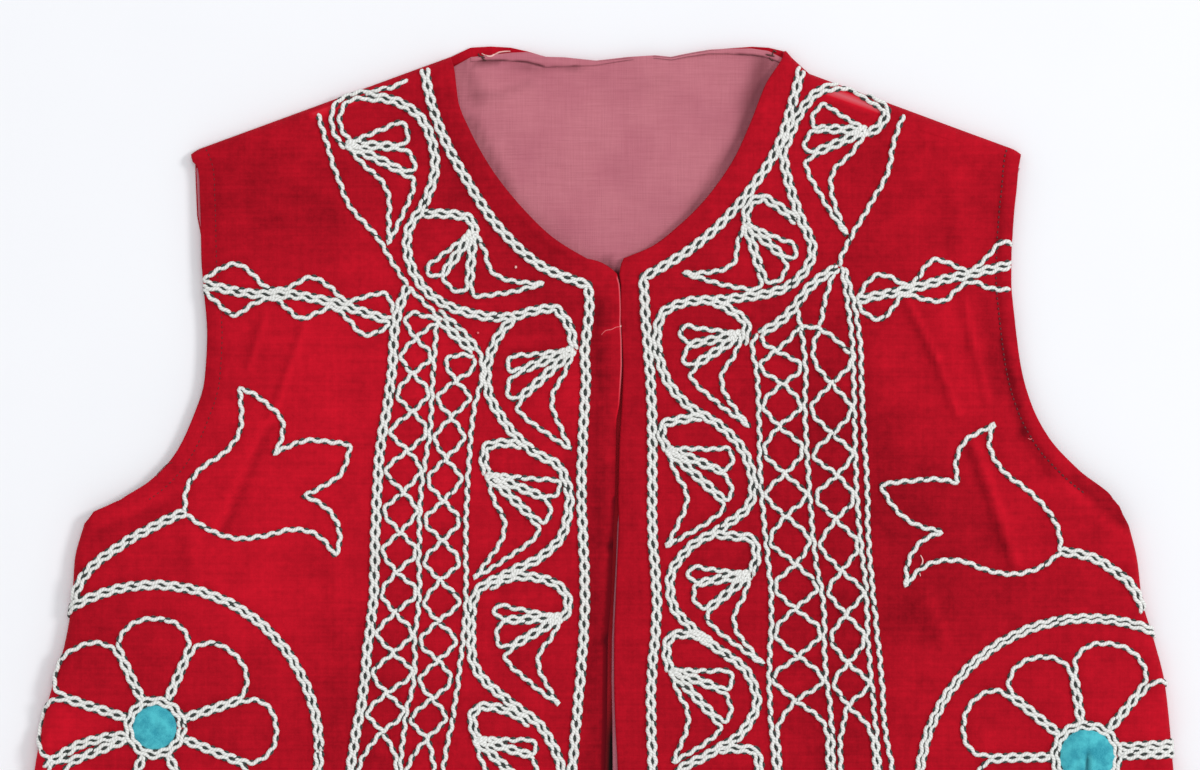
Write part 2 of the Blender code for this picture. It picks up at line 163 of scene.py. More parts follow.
LEFT = Front(
    name="front_left", side=1.0, sections=LEFT_SECTIONS, wrap=39.0, shoulder_drop=7.0, edge_wear=0.0,
    underarm_lift=8.5, neck_bulge=0.0, armhole_groove=-0.9, armhole_thread=0.42,
    creases=rows(
        Crease,
        (137, 132, 153, 94, 9, -0.8), (169, 61, 185, 22, 10, -0.5), (209, 54, 231, 37, 6, 1),
        (140, -160, 160, -245, 16, -1),
    ),
    folds=rows(
        Fold,
        (135, 135.5, 147.5, 111, 2.1, 0.9, 2.6), (147.5, 111, 157, 86, 2.1, 0.8, 2),
        (160, 136.5, 164, 117.5, 2.2, 0.7, 1.8), (164, 117.5, 170.5, 92, 2.2, 0.7, 1.5),
        (164.5, 71.5, 182.5, 19.5, 3, 1.2, 3), (209, 54.5, 232, 34, 3.4, 0.9, -2.4),
        (150, 190, 128, 176, 5, -0.6, 0.8), (172, 160, 146, 156, 5, 0.6, 0.5),
        (154, 191, 159.5, 160, 5, 0.5, 1), (119, 105, 145, 106.5, 3, 0.4, 0.8),
        (122.5, 87, 148.5, 90.5, 3, -0.4, 0.8), (143, 2, 149.5, -16, 4, 0.6, 1),
        (60, 190, 40, 168, 4, 0.5, 0.6), (37, 94.5, 54, 101, 2.6, 0.5, 0.7),
        (8, 92, 16.5, 94, 2.4, 0.4, 0.7), (7, 38, 17, 34.5, 2.6, -0.4, 0.7),
        (6.5, -16, 18, -13, 2.6, 0.4, 0.7),
    ),
    # Painted tone: brushed-pile patches, painted shade along the armhole edge and underarm, and a painted
    # highlight on the shoulder.
    naps=rows(
        Nap,
        (11, 137, 11, -83, 6, -0.3), (47, 137, 47, -83, 26, -0.3), (92, 124, 101, -83, 22, -0.9),
        (124.5, 124, 133.5, 83, 13, 0.2), (152, 137, 162, 91.5, 8, 0.9), (133.5, 45, 159.5, 27, 20, -0.8),
        (122.5, 79, 131.5, -7, 16, -0.7), (181, 56, 191.5, 25, 8, 0.5), (131.5, -3, 181, -0.5, 13, -0.6),
        (124, 205, 113.5, 160, 14, -0.4), (133.5, 213, 174, 205.5, 4.5, 0.6),
        (99, 231.5, 124, 222.5, 2.2, 4.9), (176.5, 191, 177, 124, 2.6, -0.9),
        (177, 119, 187, 79, 2.8, -1.8), (188, 77, 199, 60, 3, -1.6), (169.5, 137, 175.5, 97, 3.4, -0.8),
        (220.5, 54.5, 234, 41, 3, -0.8), (230.5, -38, 245, -52, 17, 0.5),
    ),
)
FRONTS = {"right": RIGHT, "left": LEFT}

# The back's armholes, from the underarm seams to the shoulder tips.
ArmholeRow = namedtuple("ArmholeRow", "y left_x right_x")
BACK_ARMHOLES = rows(
    ArmholeRow,
    (44, -208, 190.5), (56, -199, 187.5), (70, -190.5, 184.5), (88, -183.5, 182), (110, -179.5, 181),
    (135, -180, 181), (160, -182.5, 181.6), (176, -185.6, 182.6), (190, -186.2, 184), (204, -186.6, 186.6),
)
# The back neck edge, between the two shoulder lines, with the depth of the lining's hem strip.
NeckPoint = namedtuple("NeckPoint", "x y lining_inset hem")
BACK_NECK = rows(
    NeckPoint,
    (-71, 247, 5.2, 2.2), (-62, 251.2, 4.4, 2.2), (-53, 251.7, 3.9, 2.4), (-44, 251.2, 2.4, 3.6),
    (-36, 249.4, 0.3, 4.6), (-28, 247, 0, 4.6), (-20, 246.8, 0, 4.2), (-5.5, 245.2, 0, 2.2),
    (9, 246.8, 0, 1.6), (21.5, 247.6, 0, 1.6), (28.5, 246.9, 0, 1.6), (36.5, 248.6, 0, 1.7),
    (46, 250.2, 0, 1.9), (55, 250.9, 0.2, 2.4), (65, 251.6, 0.9, 3), (72.5, 251.2, 1.6, 3),
    (80, 249.4, 3.6, 3),
)
SHOULDER_COLUMNS = 4
SHOULDER_LINING_INSET = 6.0
LEFT_SHOULDER_CORNER = (90.9, 239.4)
# Painted shade on the lining: shadows beside the fronts' neck edges, along the neck hem and in its folds.
LINING_SHADES = rows(
    Nap,
    (-59.5, 245, -48.5, 244.5, 1.3, 0.6), (-45, 244, -29, 242, 1.2, 0.5), (-29, 242, -12.5, 243, 1.2, 0.5),
    (-0.5, 154, 4, 149.5, 2.6, 0.65), (70, 244.5, 64, 226.5, 4.8, 0.6), (62, 220, 60, 213, 3.4, 0.44),
    (57, 207, 48.5, 195, 2.6, 0.37), (46, 191, 37, 178.5, 2.2, 0.32), (-65.5, 244.5, -58.5, 228, 3.6, 0.3),
    (-61, 218, -45, 186, 2.4, 0.38), (-61.5, 228.5, -48.5, 229.5, 1.6, 0.2),
    (-45.5, 231, -34, 236, 1.8, 0.15), (14.5, 234.5, 27, 236, 2.2, 0.08),
)
# Soft folds of the lining below its top edge.
LINING_FOLDS = rows(
    Crease,
    (-60.5, 232, -45, 233.5, 4, 0.8), (-38, 233, -14.5, 241.5, 4.5, 0.7), (14.5, 237, 41.5, 229, 5, 0.6),
    (-21.5, 218, 19, 205, 9, 0.4),
)

# The two-ply cord: a thick white strand and a thin black one that shows in its hollows.
PITCH = 6.5
SEGMENTS_PER_PITCH = 8
Strand = namedtuple("Strand", "name radius sides sway height heave lag")
WHITE = Strand("white", 0.94, 6, 0.50, 0.72, 0.11, 0.0)
BLACK = Strand("black", 0.60, 5, 0.87, 0.46, 0.17, pi)
FLECK_CHANGE = 0.2
PAIR_SPACING = 2.2
HALF_PAIR = PAIR_SPACING / 2
CORD_DENT = -0.35
CORD_DENT_WIDTH = 2.8
CORD_DENT_STEP = 1.6
SEAM_DENT_STEP = 1.2
END_LENGTH = 2.0
END_SINK = 1.6
END_SINK_POWER = 1.5
# Loose ends and lint that lie on the cloth: how thick, how high over it, whose thread, and where.
Loose = namedtuple("Loose", "radius lift thread points")
LOOSE = {
    "right": rows(
        Loose,
        (0.17, 0, "pink", [(6, 128), (5.5, 125.5), (3.5, 125), (1.5, 124), (-1, 123.5), (-3, 121.5)]),
        (0.34, 0, "pale", [(6, 126.5), (5.5, 125)]),
        (0.7, 0.3, "pale", [(-42, 152), (-41, 152)]),
        (0.55, 0.2, "pink", [(-59, 122.5), (-58, 122.5)]),
        (0.16, 0.1, "dark", [(-203, 57.5), (-202.5, 59.5), (-200, 62), (-198, 63.5), (-196, 64)]),
    ),
    "left": rows(
        Loose,
        (0.36, 0.35, "pale", [(140.5, 22.5), (141.5, 20), (140.5, 17), (140, 15.5), (140.5, 13)]),
        (0.22, 0.1, "pink", [(189, 75), (190, 74.5), (191, 75)]),
    ),
    "neck": rows(
        Loose,
        (0.42, 0, "pale", [(-57, 248.5), (-55, 247.5), (-53, 247), (-51, 248), (-49, 249), (-44, 249.5)]),
        (0.34, 0.2, "dark", [(-58.5, 248.5), (-58, 247.5)]),
        (0.36, 0.2, "dark", [(-58.5, 247), (-57, 247), (-55.5, 246.5)]),
        (0.34, 0.2, "dark", [(-57, 246.5), (-55, 245)]),
        (0.34, 0.2, "dark", [(74.5, 250), (76, 249)]),
        (0.38, 0.2, "dark", [(71, 248), (73, 247.5), (75, 247)]),
        (0.34, 0.2, "dark", [(74.5, 249.5), (74, 247.5)]),
        (0.36, 0.2, "dark", [(72.5, 246.5), (74.5, 245)]),
    ),
}

# A cord's route is a list of stretches that meet at corners; each stretch after the first
# starts where the one before it ends. The name of a route tells which group its cord is in,
# and whether two cords run side by side.
ROUTES_RIGHT = {
    "border_pair": [
        [(-82.5, 241.5), (-80, 228), (-73, 208.5), (-62.5, 189.5), (-50, 171), (-32.5, 154), (-20.5, 148),
         (-9, 144)],
        [(-8.5, 132), (-10.5, 115.5), (-10, 101.5), (-11, 83), (-12, 52), (-10.5, -1), (-16, -72),
         (-21, -133), (-23.5, -226)],
        [(-80, -228), (-138.5, -227), (-201.5, -224.5), (-273.5, -224.5)],
    ],
    "wave_pair": [
        [(-109, 228.5), (-96.5, 227), (-85, 220), (-79, 208), (-78, 194.5), (-83, 180), (-90, 168),
         (-88.5, 152), (-78.5, 138.5), (-61, 131), (-42, 129.5)],
        [(-51.5, 117), (-54.5, 99), (-48.5, 85), (-35, 70), (-22, 62), (-17.5, 49.5), (-20.5, 32),
         (-29, 22.5), (-43.5, 15), (-59, 6), (-61.5, -7), (-59.5, -28.5), (-47, -41.5), (-30.5, -54.5),
         (-22.5, -69), (-19, -88), (-28.5, -105), (-45.5, -115.5), (-60, -128), (-63, -144),
         (-57.5, -157.5), (-44, -169), (-33, -179), (-27.5, -193), (-32, -208.5), (-41.5, -222)],
    ],
    "wave_start_inner": [[
        (-108, 228), (-113.5, 227.5), (-118, 225.5), (-120.5, 221), (-120, 214.5), (-116, 209),
    ]],
    "wave_start_outer": [[
        (-106.5, 231), (-115, 229.5), (-121.5, 226), (-124, 222.5), (-124.5, 218), (-123.5, 213),
        (-118.5, 205.5),
    ]],
    "shoulder_line": [[
        (-130.5, 221), (-127.5, 211), (-122, 193.5), (-115.5, 178.5), (-105, 167), (-96.5, 153.5),
        (-90, 143.5),
    ]],
    "shoulder_short": [[(-90.5, 236.5), (-93.5, 234.5), (-96.5, 233), (-101, 232), (-106.5, 231)]],
    "lattice_outer_pair": [[
        (-90, 143.5), (-94, 133.5), (-96, 124), (-97, 107), (-99.5, 88), (-102.5, 70), (-104.5, 34.5),
        (-105.5, 2), (-108, -18.5), (-110, -39), (-115, -68), (-119, -110), (-122.5, -160), (-125, -224.5),
    ]],
    "lattice_top": [[(-90, 143), (-83, 136.5), (-75, 128)]],
    "lattice_top_pair": [[(-75, 128), (-68, 120.5), (-60.5, 114)]],
    "lattice_inner": [[
        (-76, 132.5), (-66, 124), (-58.5, 115), (-56.5, 105.5), (-60.5, 87), (-62.5, 65), (-64, 34.5),
        (-64, 2), (-66, -22), (-69.5, -49), (-74, -72), (-78.5, -110), (-81, -160), (-83, -224.5),
    ]],
    "lattice_middle": [[
        (-77, 128), (-78, 114), (-79, 99), (-80, 79), (-84, 52), (-85, 25.5), (-85, 2), (-87, -15),
        (-87, -32), (-90.5, -47.5), (-93, -68.5), (-97, -110), (-101, -160), (-103.5, -224.5),
    ]],
    "chain_pair": [[
        (-182, 144.5), (-160, 140), (-141.5, 139.5), (-123.5, 136), (-106.5, 130.5), (-97, 127.5),
    ]],
    "chain_upper": [[
        (-182, 146), (-176, 150.5), (-167.5, 153.5), (-161, 150), (-153, 142.5), (-145, 142.5),
        (-133, 147.5), (-125, 143), (-118, 137), (-108, 139), (-100, 140), (-96.5, 131.5),
    ]],
    "chain_lower": [[
        (-182, 142), (-177, 137), (-168, 130.5), (-159.5, 135.5), (-150.5, 138), (-144, 133), (-138, 129),
        (-130.5, 131.5), (-124, 134), (-116.5, 128), (-109.5, 121.5), (-97, 126.5),
    ]],
    "tulip": [
        [(-190, 41), (-189.5, 52.5), (-183.5, 61), (-171, 70), (-165.5, 79.5), (-166, 97.5)],
        [(-159, 94.5), (-147, 83.5), (-147, 74), (-151, 67.5)],
        [(-143.5, 71.5), (-135, 74), (-116, 72)],
        [(-119.5, 60), (-127, 54), (-137.5, 49)],
        [(-130.5, 46.5), (-123.5, 40), (-120.5, 32), (-122.5, 22)],
        [(-131.5, 32), (-142, 34), (-155.5, 31), (-167, 30), (-178.5, 33.5), (-190, 41)],
    ],
    "petal_extra_pair": [[
        (-216, -59), (-222, -59), (-228.5, -60), (-235.5, -62), (-243, -65.5), (-249, -69.5), (-253, -73.5),
    ]],
    "tulip_stem_pair": [[(-190, 42), (-206, 34.5), (-223.5, 24), (-235, 14), (-241, 1)]],
}
ROUTES_LEFT = {
    "border_pair": [
        [(87.5, 244), (83, 226), (76.5, 206.5), (66, 189.5), (51.5, 172.5), (37, 160), (16, 147.5)],
        [(17, 128), (19.5, 94.5), (20, 65), (20, 34.5), (22, -1), (19.5, -36.5), (20, -72), (22, -133),
         (21.5, -226)],
        [(86.5, -228), (158.5, -226.5), (212.5, -224.5), (280, -224.5)],
    ],
    "wave_pair": [
        [(78.5, 206.5), (80.5, 193), (86, 175.5), (92, 160), (88, 149.5), (78, 142), (61, 138.5),
         (41, 137)],
        [(33.5, 136), (25, 131.5), (22, 122), (25, 104.5), (34, 91.5), (53, 78.5), (63, 65), (64.5, 47),
         (54, 36.5), (37, 26), (28.5, 14), (29.5, -0.5), (43.5, -15.5), (61.5, -29), (67, -43), (60.5, -57),
         (45.5, -67), (32, -75), (28, -88), (31.5, -99.5), (45, -111.5), (61, -124), (67, -138),
         (60.5, -152), (45.5, -162.5), (32, -170.5), (28.5, -182), (32.5, -196.5), (43.5, -207.5),
         (54, -224.5)],
    ],
    "palmette_pair": [
        [(79.5, 205.5), (82, 212), (87, 222.5), (95, 231), (107, 233), (117, 228), (125, 223)],
        [(124, 218), (121, 214.5), (116.5, 212)],
    ],
    "shoulder_line": [[
        (133, 220.5), (128, 206.5), (126.5, 196.5), (119, 182), (111, 168.5), (105, 157), (104, 152.5),
    ]],
    "lattice_outer_a": [[
        (105, 152), (108, 134), (110, 117), (110.5, 99.5), (111, 79), (112, 47.5), (113.5, 29.5), (116, 7),
        (117, -17.5), (120.5, -55.5), (122, -72), (124.5, -115), (126.5, -160), (128, -224.5),
    ]],
    "lattice_outer_b": [[
        (106.5, 151.5), (111, 134), (113.5, 117), (114, 99.5), (115, 79), (116.5, 54.5), (117, 29.5),
        (119, 7), (123, -33), (124.5, -55.5), (127.5, -72), (130.5, -115), (132.5, -160), (133.5, -224.5),
    ]],
    "lattice_top_pair": [[(103.5, 152), (96, 147.5), (89.5, 142), (85, 135.5), (76.5, 127), (68, 122)]],
    "lattice_inner": [[
        (67, 122), (65, 117), (67, 104), (68, 83), (68.5, 58.5), (71, 29.5), (73.5, 2), (72.5, -34),
        (73.5, -55.5), (75, -74), (77, -115), (78.5, -160), (79, -224.5),
    ]],
    "lattice_arch": [[(101.5, 150), (98, 138.5), (95.5, 125.5)]],
    "lattice_middle": [[
        (85, 133), (87, 123.5), (89, 104), (88.5, 91.5), (89.5, 69), (91, 45), (93.5, 20), (97, 0),
        (97.5, -25), (100.5, -52), (101.5, -74), (103.5, -115), (105.5, -160), (106.5, -224.5),
    ]],
    "lattice_cap": [[(86.5, 124.5), (93, 125), (101, 120.5), (109, 113)]],
    "chain_pair": [[
        (112, 137), (122.5, 139.5), (135, 142), (149.5, 146), (163.5, 149), (172, 151), (182.5, 153.5),
    ]],
    "chain_upper": [[
        (112.5, 137), (115, 143), (121, 148.5), (127, 147.5), (134.5, 144), (139.5, 147), (142.5, 152),
        (146.5, 155.5), (154, 153.5), (163, 150.5), (169, 155), (177.5, 163.5), (182.5, 161.5),
    ]],
    "chain_lower": [[
        (112, 136.5), (115.5, 131.5), (122, 128.5), (128, 133.5), (133, 139.5), (145, 137), (151.5, 137),
        (157, 142), (164, 145.5), (172, 142.5), (182, 142),
    ]],
    "tulip": [
        [(203.5, 24), (202.5, 34), (197, 43.5), (187, 53), (179, 59), (173.5, 66.5), (171.5, 74),
         (174, 81.5)],
        [(167.5, 78), (161, 74), (157.5, 68.5), (156.5, 63), (157.5, 55)],
        [(149.5, 56.5), (137, 56), (122.5, 54)],
        [(126.5, 47), (135, 38), (150.5, 33)],
        [(141, 28.5), (135.5, 21), (134, 8)],
        [(139.5, 15.5), (147.5, 19.5), (158.5, 20), (169.5, 16), (182, 14), (194.5, 17), (203.5, 24)],
    ],
    "petal_extra_pair": [[(230, -64), (239.5, -63.5), (248.5, -63), (257.5, -62)]],
    "tulip_stem_pair": [[(203.5, 24), (216, 22), (227, 16), (235, 9), (241.5, -3)]],
}
# Short pairs that lead from the wave, round a corner, to the anchor of a fan.
HOOKS_RIGHT = [
    [[(-84, 176), (-73.5, 176), (-63, 174.5)], [(-61, 172), (-60, 167.5)]],
    [[(-43, 129.5), (-33, 132.5), (-23.5, 133.5)], [(-18, 126.5), (-15.5, 115)]],
    [[(-38.5, 72), (-46.5, 73), (-54.5, 71.5)], [(-56, 66), (-54.5, 59)]],
    [[(-53.5, 7.5), (-48.5, 11), (-38, 13), (-28.5, 11.5), (-21.5, 8)],
     [(-18.5, 4), (-18, -1), (-20.5, -6.5)]],
    [[(-35, -53.5), (-43, -48.5), (-51, -46), (-57.5, -45.5)], [(-61, -49), (-60.5, -55), (-58.5, -61)]],
    [[(-55.5, -108.5), (-50.5, -105.5), (-40, -103.5), (-30, -104.5), (-23.5, -108)],
     [(-20, -112), (-20, -117), (-22.5, -122.5)]],
    [[(-37, -171.5), (-45, -166.5), (-52.5, -164), (-59.5, -163.5)],
     [(-62.5, -167), (-62, -173), (-60.5, -178.5)]],
]
HOOKS_LEFT = [
    [[(85, 172.5), (77, 179), (70, 183.5)], [(63.5, 180), (62, 171.5)]],
    [[(46, 137), (54, 133.5), (61.5, 128)], [(62.5, 124), (60.5, 117.5)]],
    [[(42.5, 85), (33, 83.5), (25, 81.5)], [(24, 76), (27, 70)]],
    [[(48, 32), (57, 31), (65, 30)], [(67, 22.5), (64, 14)]],
    [[(47, -18), (42.5, -14.5), (36.5, -13), (29, -13.5)], [(26.5, -18), (26.5, -23.5), (28, -29.5)]],
    [[(48.5, -65), (58, -64.5), (66, -65)], [(68, -73), (65, -81.5)]],
    [[(47.5, -114.5), (43, -110.5), (37, -109.5), (29.5, -110)],
     [(27, -114.5), (26.5, -119.5), (28, -126.5)]],
    [[(48.5, -160), (58, -160), (66, -160.5)], [(68, -168.5), (65, -177)]],
]
# A fan: two loops and a hooked leaf that spring from one anchor. Each has the ends of its
# three rays and the leaf's tip.
Fan = namedtuple("Fan", "anchor ray_0 ray_1 ray_2 tip")
FANS_RIGHT = rows(
    Fan,
    ((-118, 207.5), (-92.5, 217.5), (-91.5, 206), (-90, 194), (-99, 162.5)),
    ((-60.5, 168.5), (-82, 151.5), (-75, 147.5), (-62.5, 143), (-28.5, 144.5)),
    ((-15.5, 115), (-44, 111.5), (-43.5, 104), (-40, 92.5), (-16.5, 70)),
    ((-54.5, 59), (-21.5, 55.5), (-26.5, 47.5), (-32, 37.5), (-60.5, 12)),
    ((-21, -5.5), (-50, 0), (-48.5, -7), (-45, -19.5), (-22, -45)),
    ((-60, -60), (-34, -61), (-33.5, -68), (-38, -80.5), (-63, -105)),
    ((-23, -121), (-50.5, -116), (-45.5, -124), (-44, -134.5), (-24, -160.5)),
    ((-61.5, -178), (-36, -179), (-35, -186), (-39.5, -197.5), (-59.5, -219)),
)
FANS_LEFT = rows(
    Fan,
    ((116.5, 213.5), (96.5, 225.5), (92, 214.5), (92, 203), (107.5, 166)),
    ((62, 171.5), (84.5, 161.5), (81.5, 154.5), (70, 146), (33.5, 149.5)),
    ((60.5, 122), (33.5, 125.5), (35.5, 117), (38.5, 107.5), (64, 80)),
    ((26.5, 70.5), (55, 70), (53, 59.5), (51.5, 47.5), (26, 26.5)),
    ((64, 14), (37, 17), (38.5, 9.5), (45.5, -1.5), (70.5, -27)),
    ((28, -29), (55, -30), (53.5, -39), (50, -52.5), (29, -71)),
    ((65, -81.5), (38, -78.5), (39.5, -86), (46.5, -97), (71, -122.5)),
    ((28, -125.5), (52, -126), (49.5, -136.5), (46.5, -148.5), (29, -168)),
    ((65, -177), (38, -173.5), (42.5, -182), (45.5, -192), (68.5, -215.5)),
)
# A lattice column: the lines at its sides, how far its vertices stay off each, the ways in
# to its first crossing from the left and from the right, and its crossings.
Column = namedtuple("Column", "left right left_inset right_inset left_start right_start crossings")
LATTICE_RIGHT = rows(
    Column,
    (
        "lattice_outer_pair", "lattice_middle", 3.6, 1.5,
        [(-75.5, 128.5), (-82.5, 130), (-88.5, 131.5), (-91, 128)], [(-75.5, 127.5), (-79.5, 125.5)],
        [(-86.5, 120), (-88, 104), (-88, 87), (-90, 69.5), (-92, 51), (-93.5, 33), (-95, 15), (-96, -3.5),
         (-96.5, -21.5), (-99.5, -39.5), (-101.5, -57)],
    ),
    (
        "lattice_middle", "lattice_inner", 2.6, 3.2,
        [(-60.5, 112), (-67, 112.5), (-73, 110)], [(-60.5, 111), (-61, 106)],
        [(-68.5, 101), (-70.5, 84.5), (-73, 66), (-74, 47), (-74.5, 29), (-75.5, 11), (-76.5, -7.5),
         (-76.5, -25), (-79, -42), (-81.5, -60)],
    ),
)
LATTICE_LEFT = rows(
    Column,
    (
        "lattice_inner", "lattice_middle", 2.1, 2,
        [(68.5, 121), (70.5, 117.5)], [(86.5, 126), (81.5, 119.5)],
        [(75.5, 114.5), (78.5, 99.5), (77, 80.5), (79.5, 59), (80, 40), (84.5, 18.5), (84, -1.5),
         (85.5, -23), (84.5, -43)],
    ),
    (
        "lattice_middle", "lattice_outer_a", 3.1, 1.6,
        [(95, 123.5), (92.5, 117), (93, 109.5)], [(109.5, 114), (109, 108.5)],
        [(100.5, 99.5), (101, 77), (103, 58.5), (102.5, 38.5), (105, 15.5), (107, -4), (108, -26),
         (108, -45)],
    ),
)
# A round flower: its middle, the cord ring about the centre, the outer ring, and its petals.
# The petals part at the given angles from straight up, clockwise; each has its own reach, and a
# skew that makes it longer on its first side than on its second.
Flower = namedtuple("Flower", "centre ring_radius outer_centre outer_radius partings reaches skews")
FLOWER_RIGHT = Flower(
    (-203.5, -55), 12.0, (-204, -65), 73.0,
    (-26, 24, 72, 112, 155, 203, 248, 288),
    (49.0, 48.5, 54.5, 52.0, 50.0, 52.0, 54.0, 51.5),
    (0, -0.04, 0, 0, 0, 0, 0, 0.16))
FLOWER_LEFT = Flower(
    (215, -68), 14.1, (216, -82), 75.0,
    (-51, -8.7, 40, 88, 135, 182, 228, 269),
    (50.5, 52.0, 53.0, 55.0, 54.0, 53.0, 52.0, 57.5),
    (0.15, 0, 0, 0, 0, 0, 0, 0))
Work = namedtuple("Work", "routes hooks fans lattice flower")
EMBROIDERY = {
    "right": Work(ROUTES_RIGHT, HOOKS_RIGHT, FANS_RIGHT, LATTICE_RIGHT, FLOWER_RIGHT),
    "left": Work(ROUTES_LEFT, HOOKS_LEFT, FANS_LEFT, LATTICE_LEFT, FLOWER_LEFT),
}


# ---- curves and tables ----

def clamp(values, low=0.0, high=1.0):
    return np.clip(values, low, high)


def unit(vectors):
    return vectors / (np.linalg.norm(vectors, axis=1)[:, None] + 1e-12)


def bell(distance, width):
    return np.exp(-(distance / width) ** 2)


def cubic(t, start, end, reach, leaving, arriving):
    """From start to end as t goes from 0 to 1, with the slopes that it leaves and arrives at."""
    blend = (2 * t ** 3 - 3 * t ** 2 + 1) * start + (3 * t ** 2 - 2 * t ** 3) * end
    return blend + reach * ((t ** 3 - 2 * t ** 2 + t) * leaving + (t ** 3 - t ** 2) * arriving)


def row_curve(values, at):
    """Values at whole rows, read at fractional ones, smoothly and with no overshoot."""
    slopes = np.diff(values)
    tangents = np.concatenate([slopes[:1], np.zeros(len(slopes) - 1), slopes[-1:]])
    for i, (before, after) in enumerate(zip(slopes, slopes[1:]), 1):
        if before * after > 0.0:
            # The harmonic mean of both slopes.
            tangents[i] = 6.0 / (3.0 / before + 3.0 / after)
    index = np.clip(at.astype(int), 0, len(slopes) - 1)
    return cubic(at - index, values[index], values[index + 1], 1.0, tangents[index], tangents[index + 1])


def table_curve(values, at, corner):
    """A table's column read at fractional rows, smooth but for a corner at one row."""
    values = np.asarray(values, float)
    low = row_curve(values[:corner + 1], np.minimum(at, corner))
    high = row_curve(values[corner:], np.maximum(at, corner) - corner)
    return np.where(at <= corner, low, high)


def smooth_curve(points, step=0.4):
    """Centripetal Catmull-Rom curve through given points."""
    points = np.asarray(points, float)
    if len(points) == 2:
        count = max(2, int(np.linalg.norm(points[1] - points[0]) / step))
        return points[0] + (points[1] - points[0]) * np.linspace(0.0, 1.0, count)[:, None]
    gaps = np.linalg.norm(np.diff(points, axis=0), axis=1) ** 0.5
    chords = np.diff(points, axis=0) / gaps[:, None]
    tangents = np.empty_like(points)
    weight = (gaps[1:] / (gaps[:-1] + gaps[1:]))[:, None]
    tangents[1:-1] = chords[:-1] * weight + chords[1:] * (1.0 - weight)
    tangents[0] = 1.5 * chords[0] - 0.5 * tangents[1]
    tangents[-1] = 1.5 * chords[-1] - 0.5 * tangents[-2]
    pieces = []
    for i, gap in enumerate(gaps):
        count = max(2, int(gap * gap / step) + 1)
        t = np.linspace(0.0, 1.0, count, endpoint=False)[:, None]
        pieces.append(cubic(t, points[i], points[i + 1], gap, tangents[i], tangents[i + 1]))
    return np.concatenate(pieces + [points[-1:]])


def lengths_along(points, columns=3):
    steps = np.diff(points[:, :columns], axis=0)
    return np.concatenate([[0.0], np.cumsum(np.linalg.norm(steps, axis=1))])


def line_frame(points, ups):
    """Unit vectors along a line on the cloth, and square across it."""
    travel = unit(np.gradient(points, axis=0))
    return travel, unit(np.cross(ups, travel))


def polar(centre, angle, reach, offset=0.0):
    """A point at an angle and a reach from a centre, moved over to the left of that way."""
    return (
        centre[0] + reach * cos(angle) - offset * sin(angle),
        centre[1] + reach * sin(angle) + offset * cos(angle))


def split_rows(counts):
    """Fractional row numbers, with the way from each row to the next split into so many steps."""
    return np.array([0.0] + [
        number + (step + 1) / count for number, count in enumerate(counts) for step in range(count)])


def read_at(points, along, at):
    """Every column of a line's points, read at distances along it."""
    return np.stack([np.interp(at, along, column) for column in points.T], axis=1)


def resample(points, step):
    """Points at even steps in the plane along a line, with any further columns carried over."""
    along = lengths_along(points, 2)
    count = max(4, int(round(along[-1] / step)))
    return read_at(points, along, np.linspace(0.0, along[-1], count + 1))


def soften(points, reach):
    """Running mean that keeps the two ends."""
    kernel = np.hanning(2 * reach + 3)[1:-1]
    kernel /= kernel.sum()
    before = 2 * points[:1] - points[reach:0:-1]
    after = 2 * points[-1:] - points[-2:-2 - reach:-1]
    padded = np.concatenate([before, points, after])
    result = np.stack([np.convolve(column, kernel, mode="valid") for column in padded.T], axis=1)
    result[0], result[-1] = points[0], points[-1]
    return result


ROUTE_STEP = 0.5
CORNER_SOFTENING = 2


def route(stretches):
    """One line in the plane from stretches that meet at corners, each corner barely rounded."""
    start, pieces = [], []
    for stretch in stretches:
        pieces.append(smooth_curve(start + list(stretch))[:-1])
        start = [stretch[-1]]
    line = np.concatenate(pieces + [np.array(start, float)])
    return soften(resample(line, ROUTE_STEP), CORNER_SOFTENING)


def beside(line, offset):
    """A line moved sideways in the plane; a positive offset is to the left of its travel."""
    travel = np.gradient(line, axis=0)
    travel /= np.linalg.norm(travel, axis=1)[:, None] + 1e-9
    return soften(line + np.stack([-travel[:, 1], travel[:, 0]], axis=1) * offset, CORNER_SOFTENING)


# Where a crease's or a fold's height and a tone line's tone stand among their values.
STRENGTH = 5


def soft_lines(lines, x, y):
    """What soft lines add up to at points: each fades out across it and past its ends."""
    total = np.zeros_like(x)
    for line in lines:
        along = np.array([line.x1 - line.x0, line.y1 - line.y0])
        share = clamp(((x - line.x0) * along[0] + (y - line.y0) * along[1]) / (along @ along))
        away = (x - line.x0 - along[0] * share) ** 2 + (y - line.y0 - along[1] * share) ** 2
        total += line[STRENGTH] * np.exp(-away / line.width ** 2)
    return total


def fold_painted_light(folds, x, y):
    """Painted light and shade beside folds: lighter on one side of each and darker on the other."""
    total = np.zeros_like(x)
    for fold in folds:
        reach = np.hypot(fold.x1 - fold.x0, fold.y1 - fold.y0)
        across = ((y - fold.y0) * (fold.x1 - fold.x0) - (x - fold.x0) * (fold.y1 - fold.y0)) / reach
        total += fold.lean * across / fold.width * soft_lines([fold._replace(height=1.0)], x, y)
    return total


# ---- the cloth's surface ----

# Low waves in the cloth: wavelength, direction in degrees, height and phase. Each one bends.
Wave = namedtuple("Wave", "length angle height phase")
CLOTH_WAVES = rows(
    Wave, (97, 18, 0.30, 0.4), (71, 104, 0.26, 1.9), (53, 57, 0.20, 4.1), (41, 151, 0.14, 2.7),
    (29, 83, 0.08, 5.2), (23, 9, 0.07, 0.9))
WAVE_BEND = 0.9
WAVE_BEND_LENGTH = 1.7

# The grid of a front's skin: steps between rows, and its columns, which are closer at both sides.
ROW_STEP = 2.4
COLUMNS = 92
EDGE_COLUMNS = 7
SIDE_COLUMNS = 14
USUAL_WIDTH = 190.0
FOLD_STEPS = 9
WRAP_STEP = 4.0
ROLL_STEPS = 5
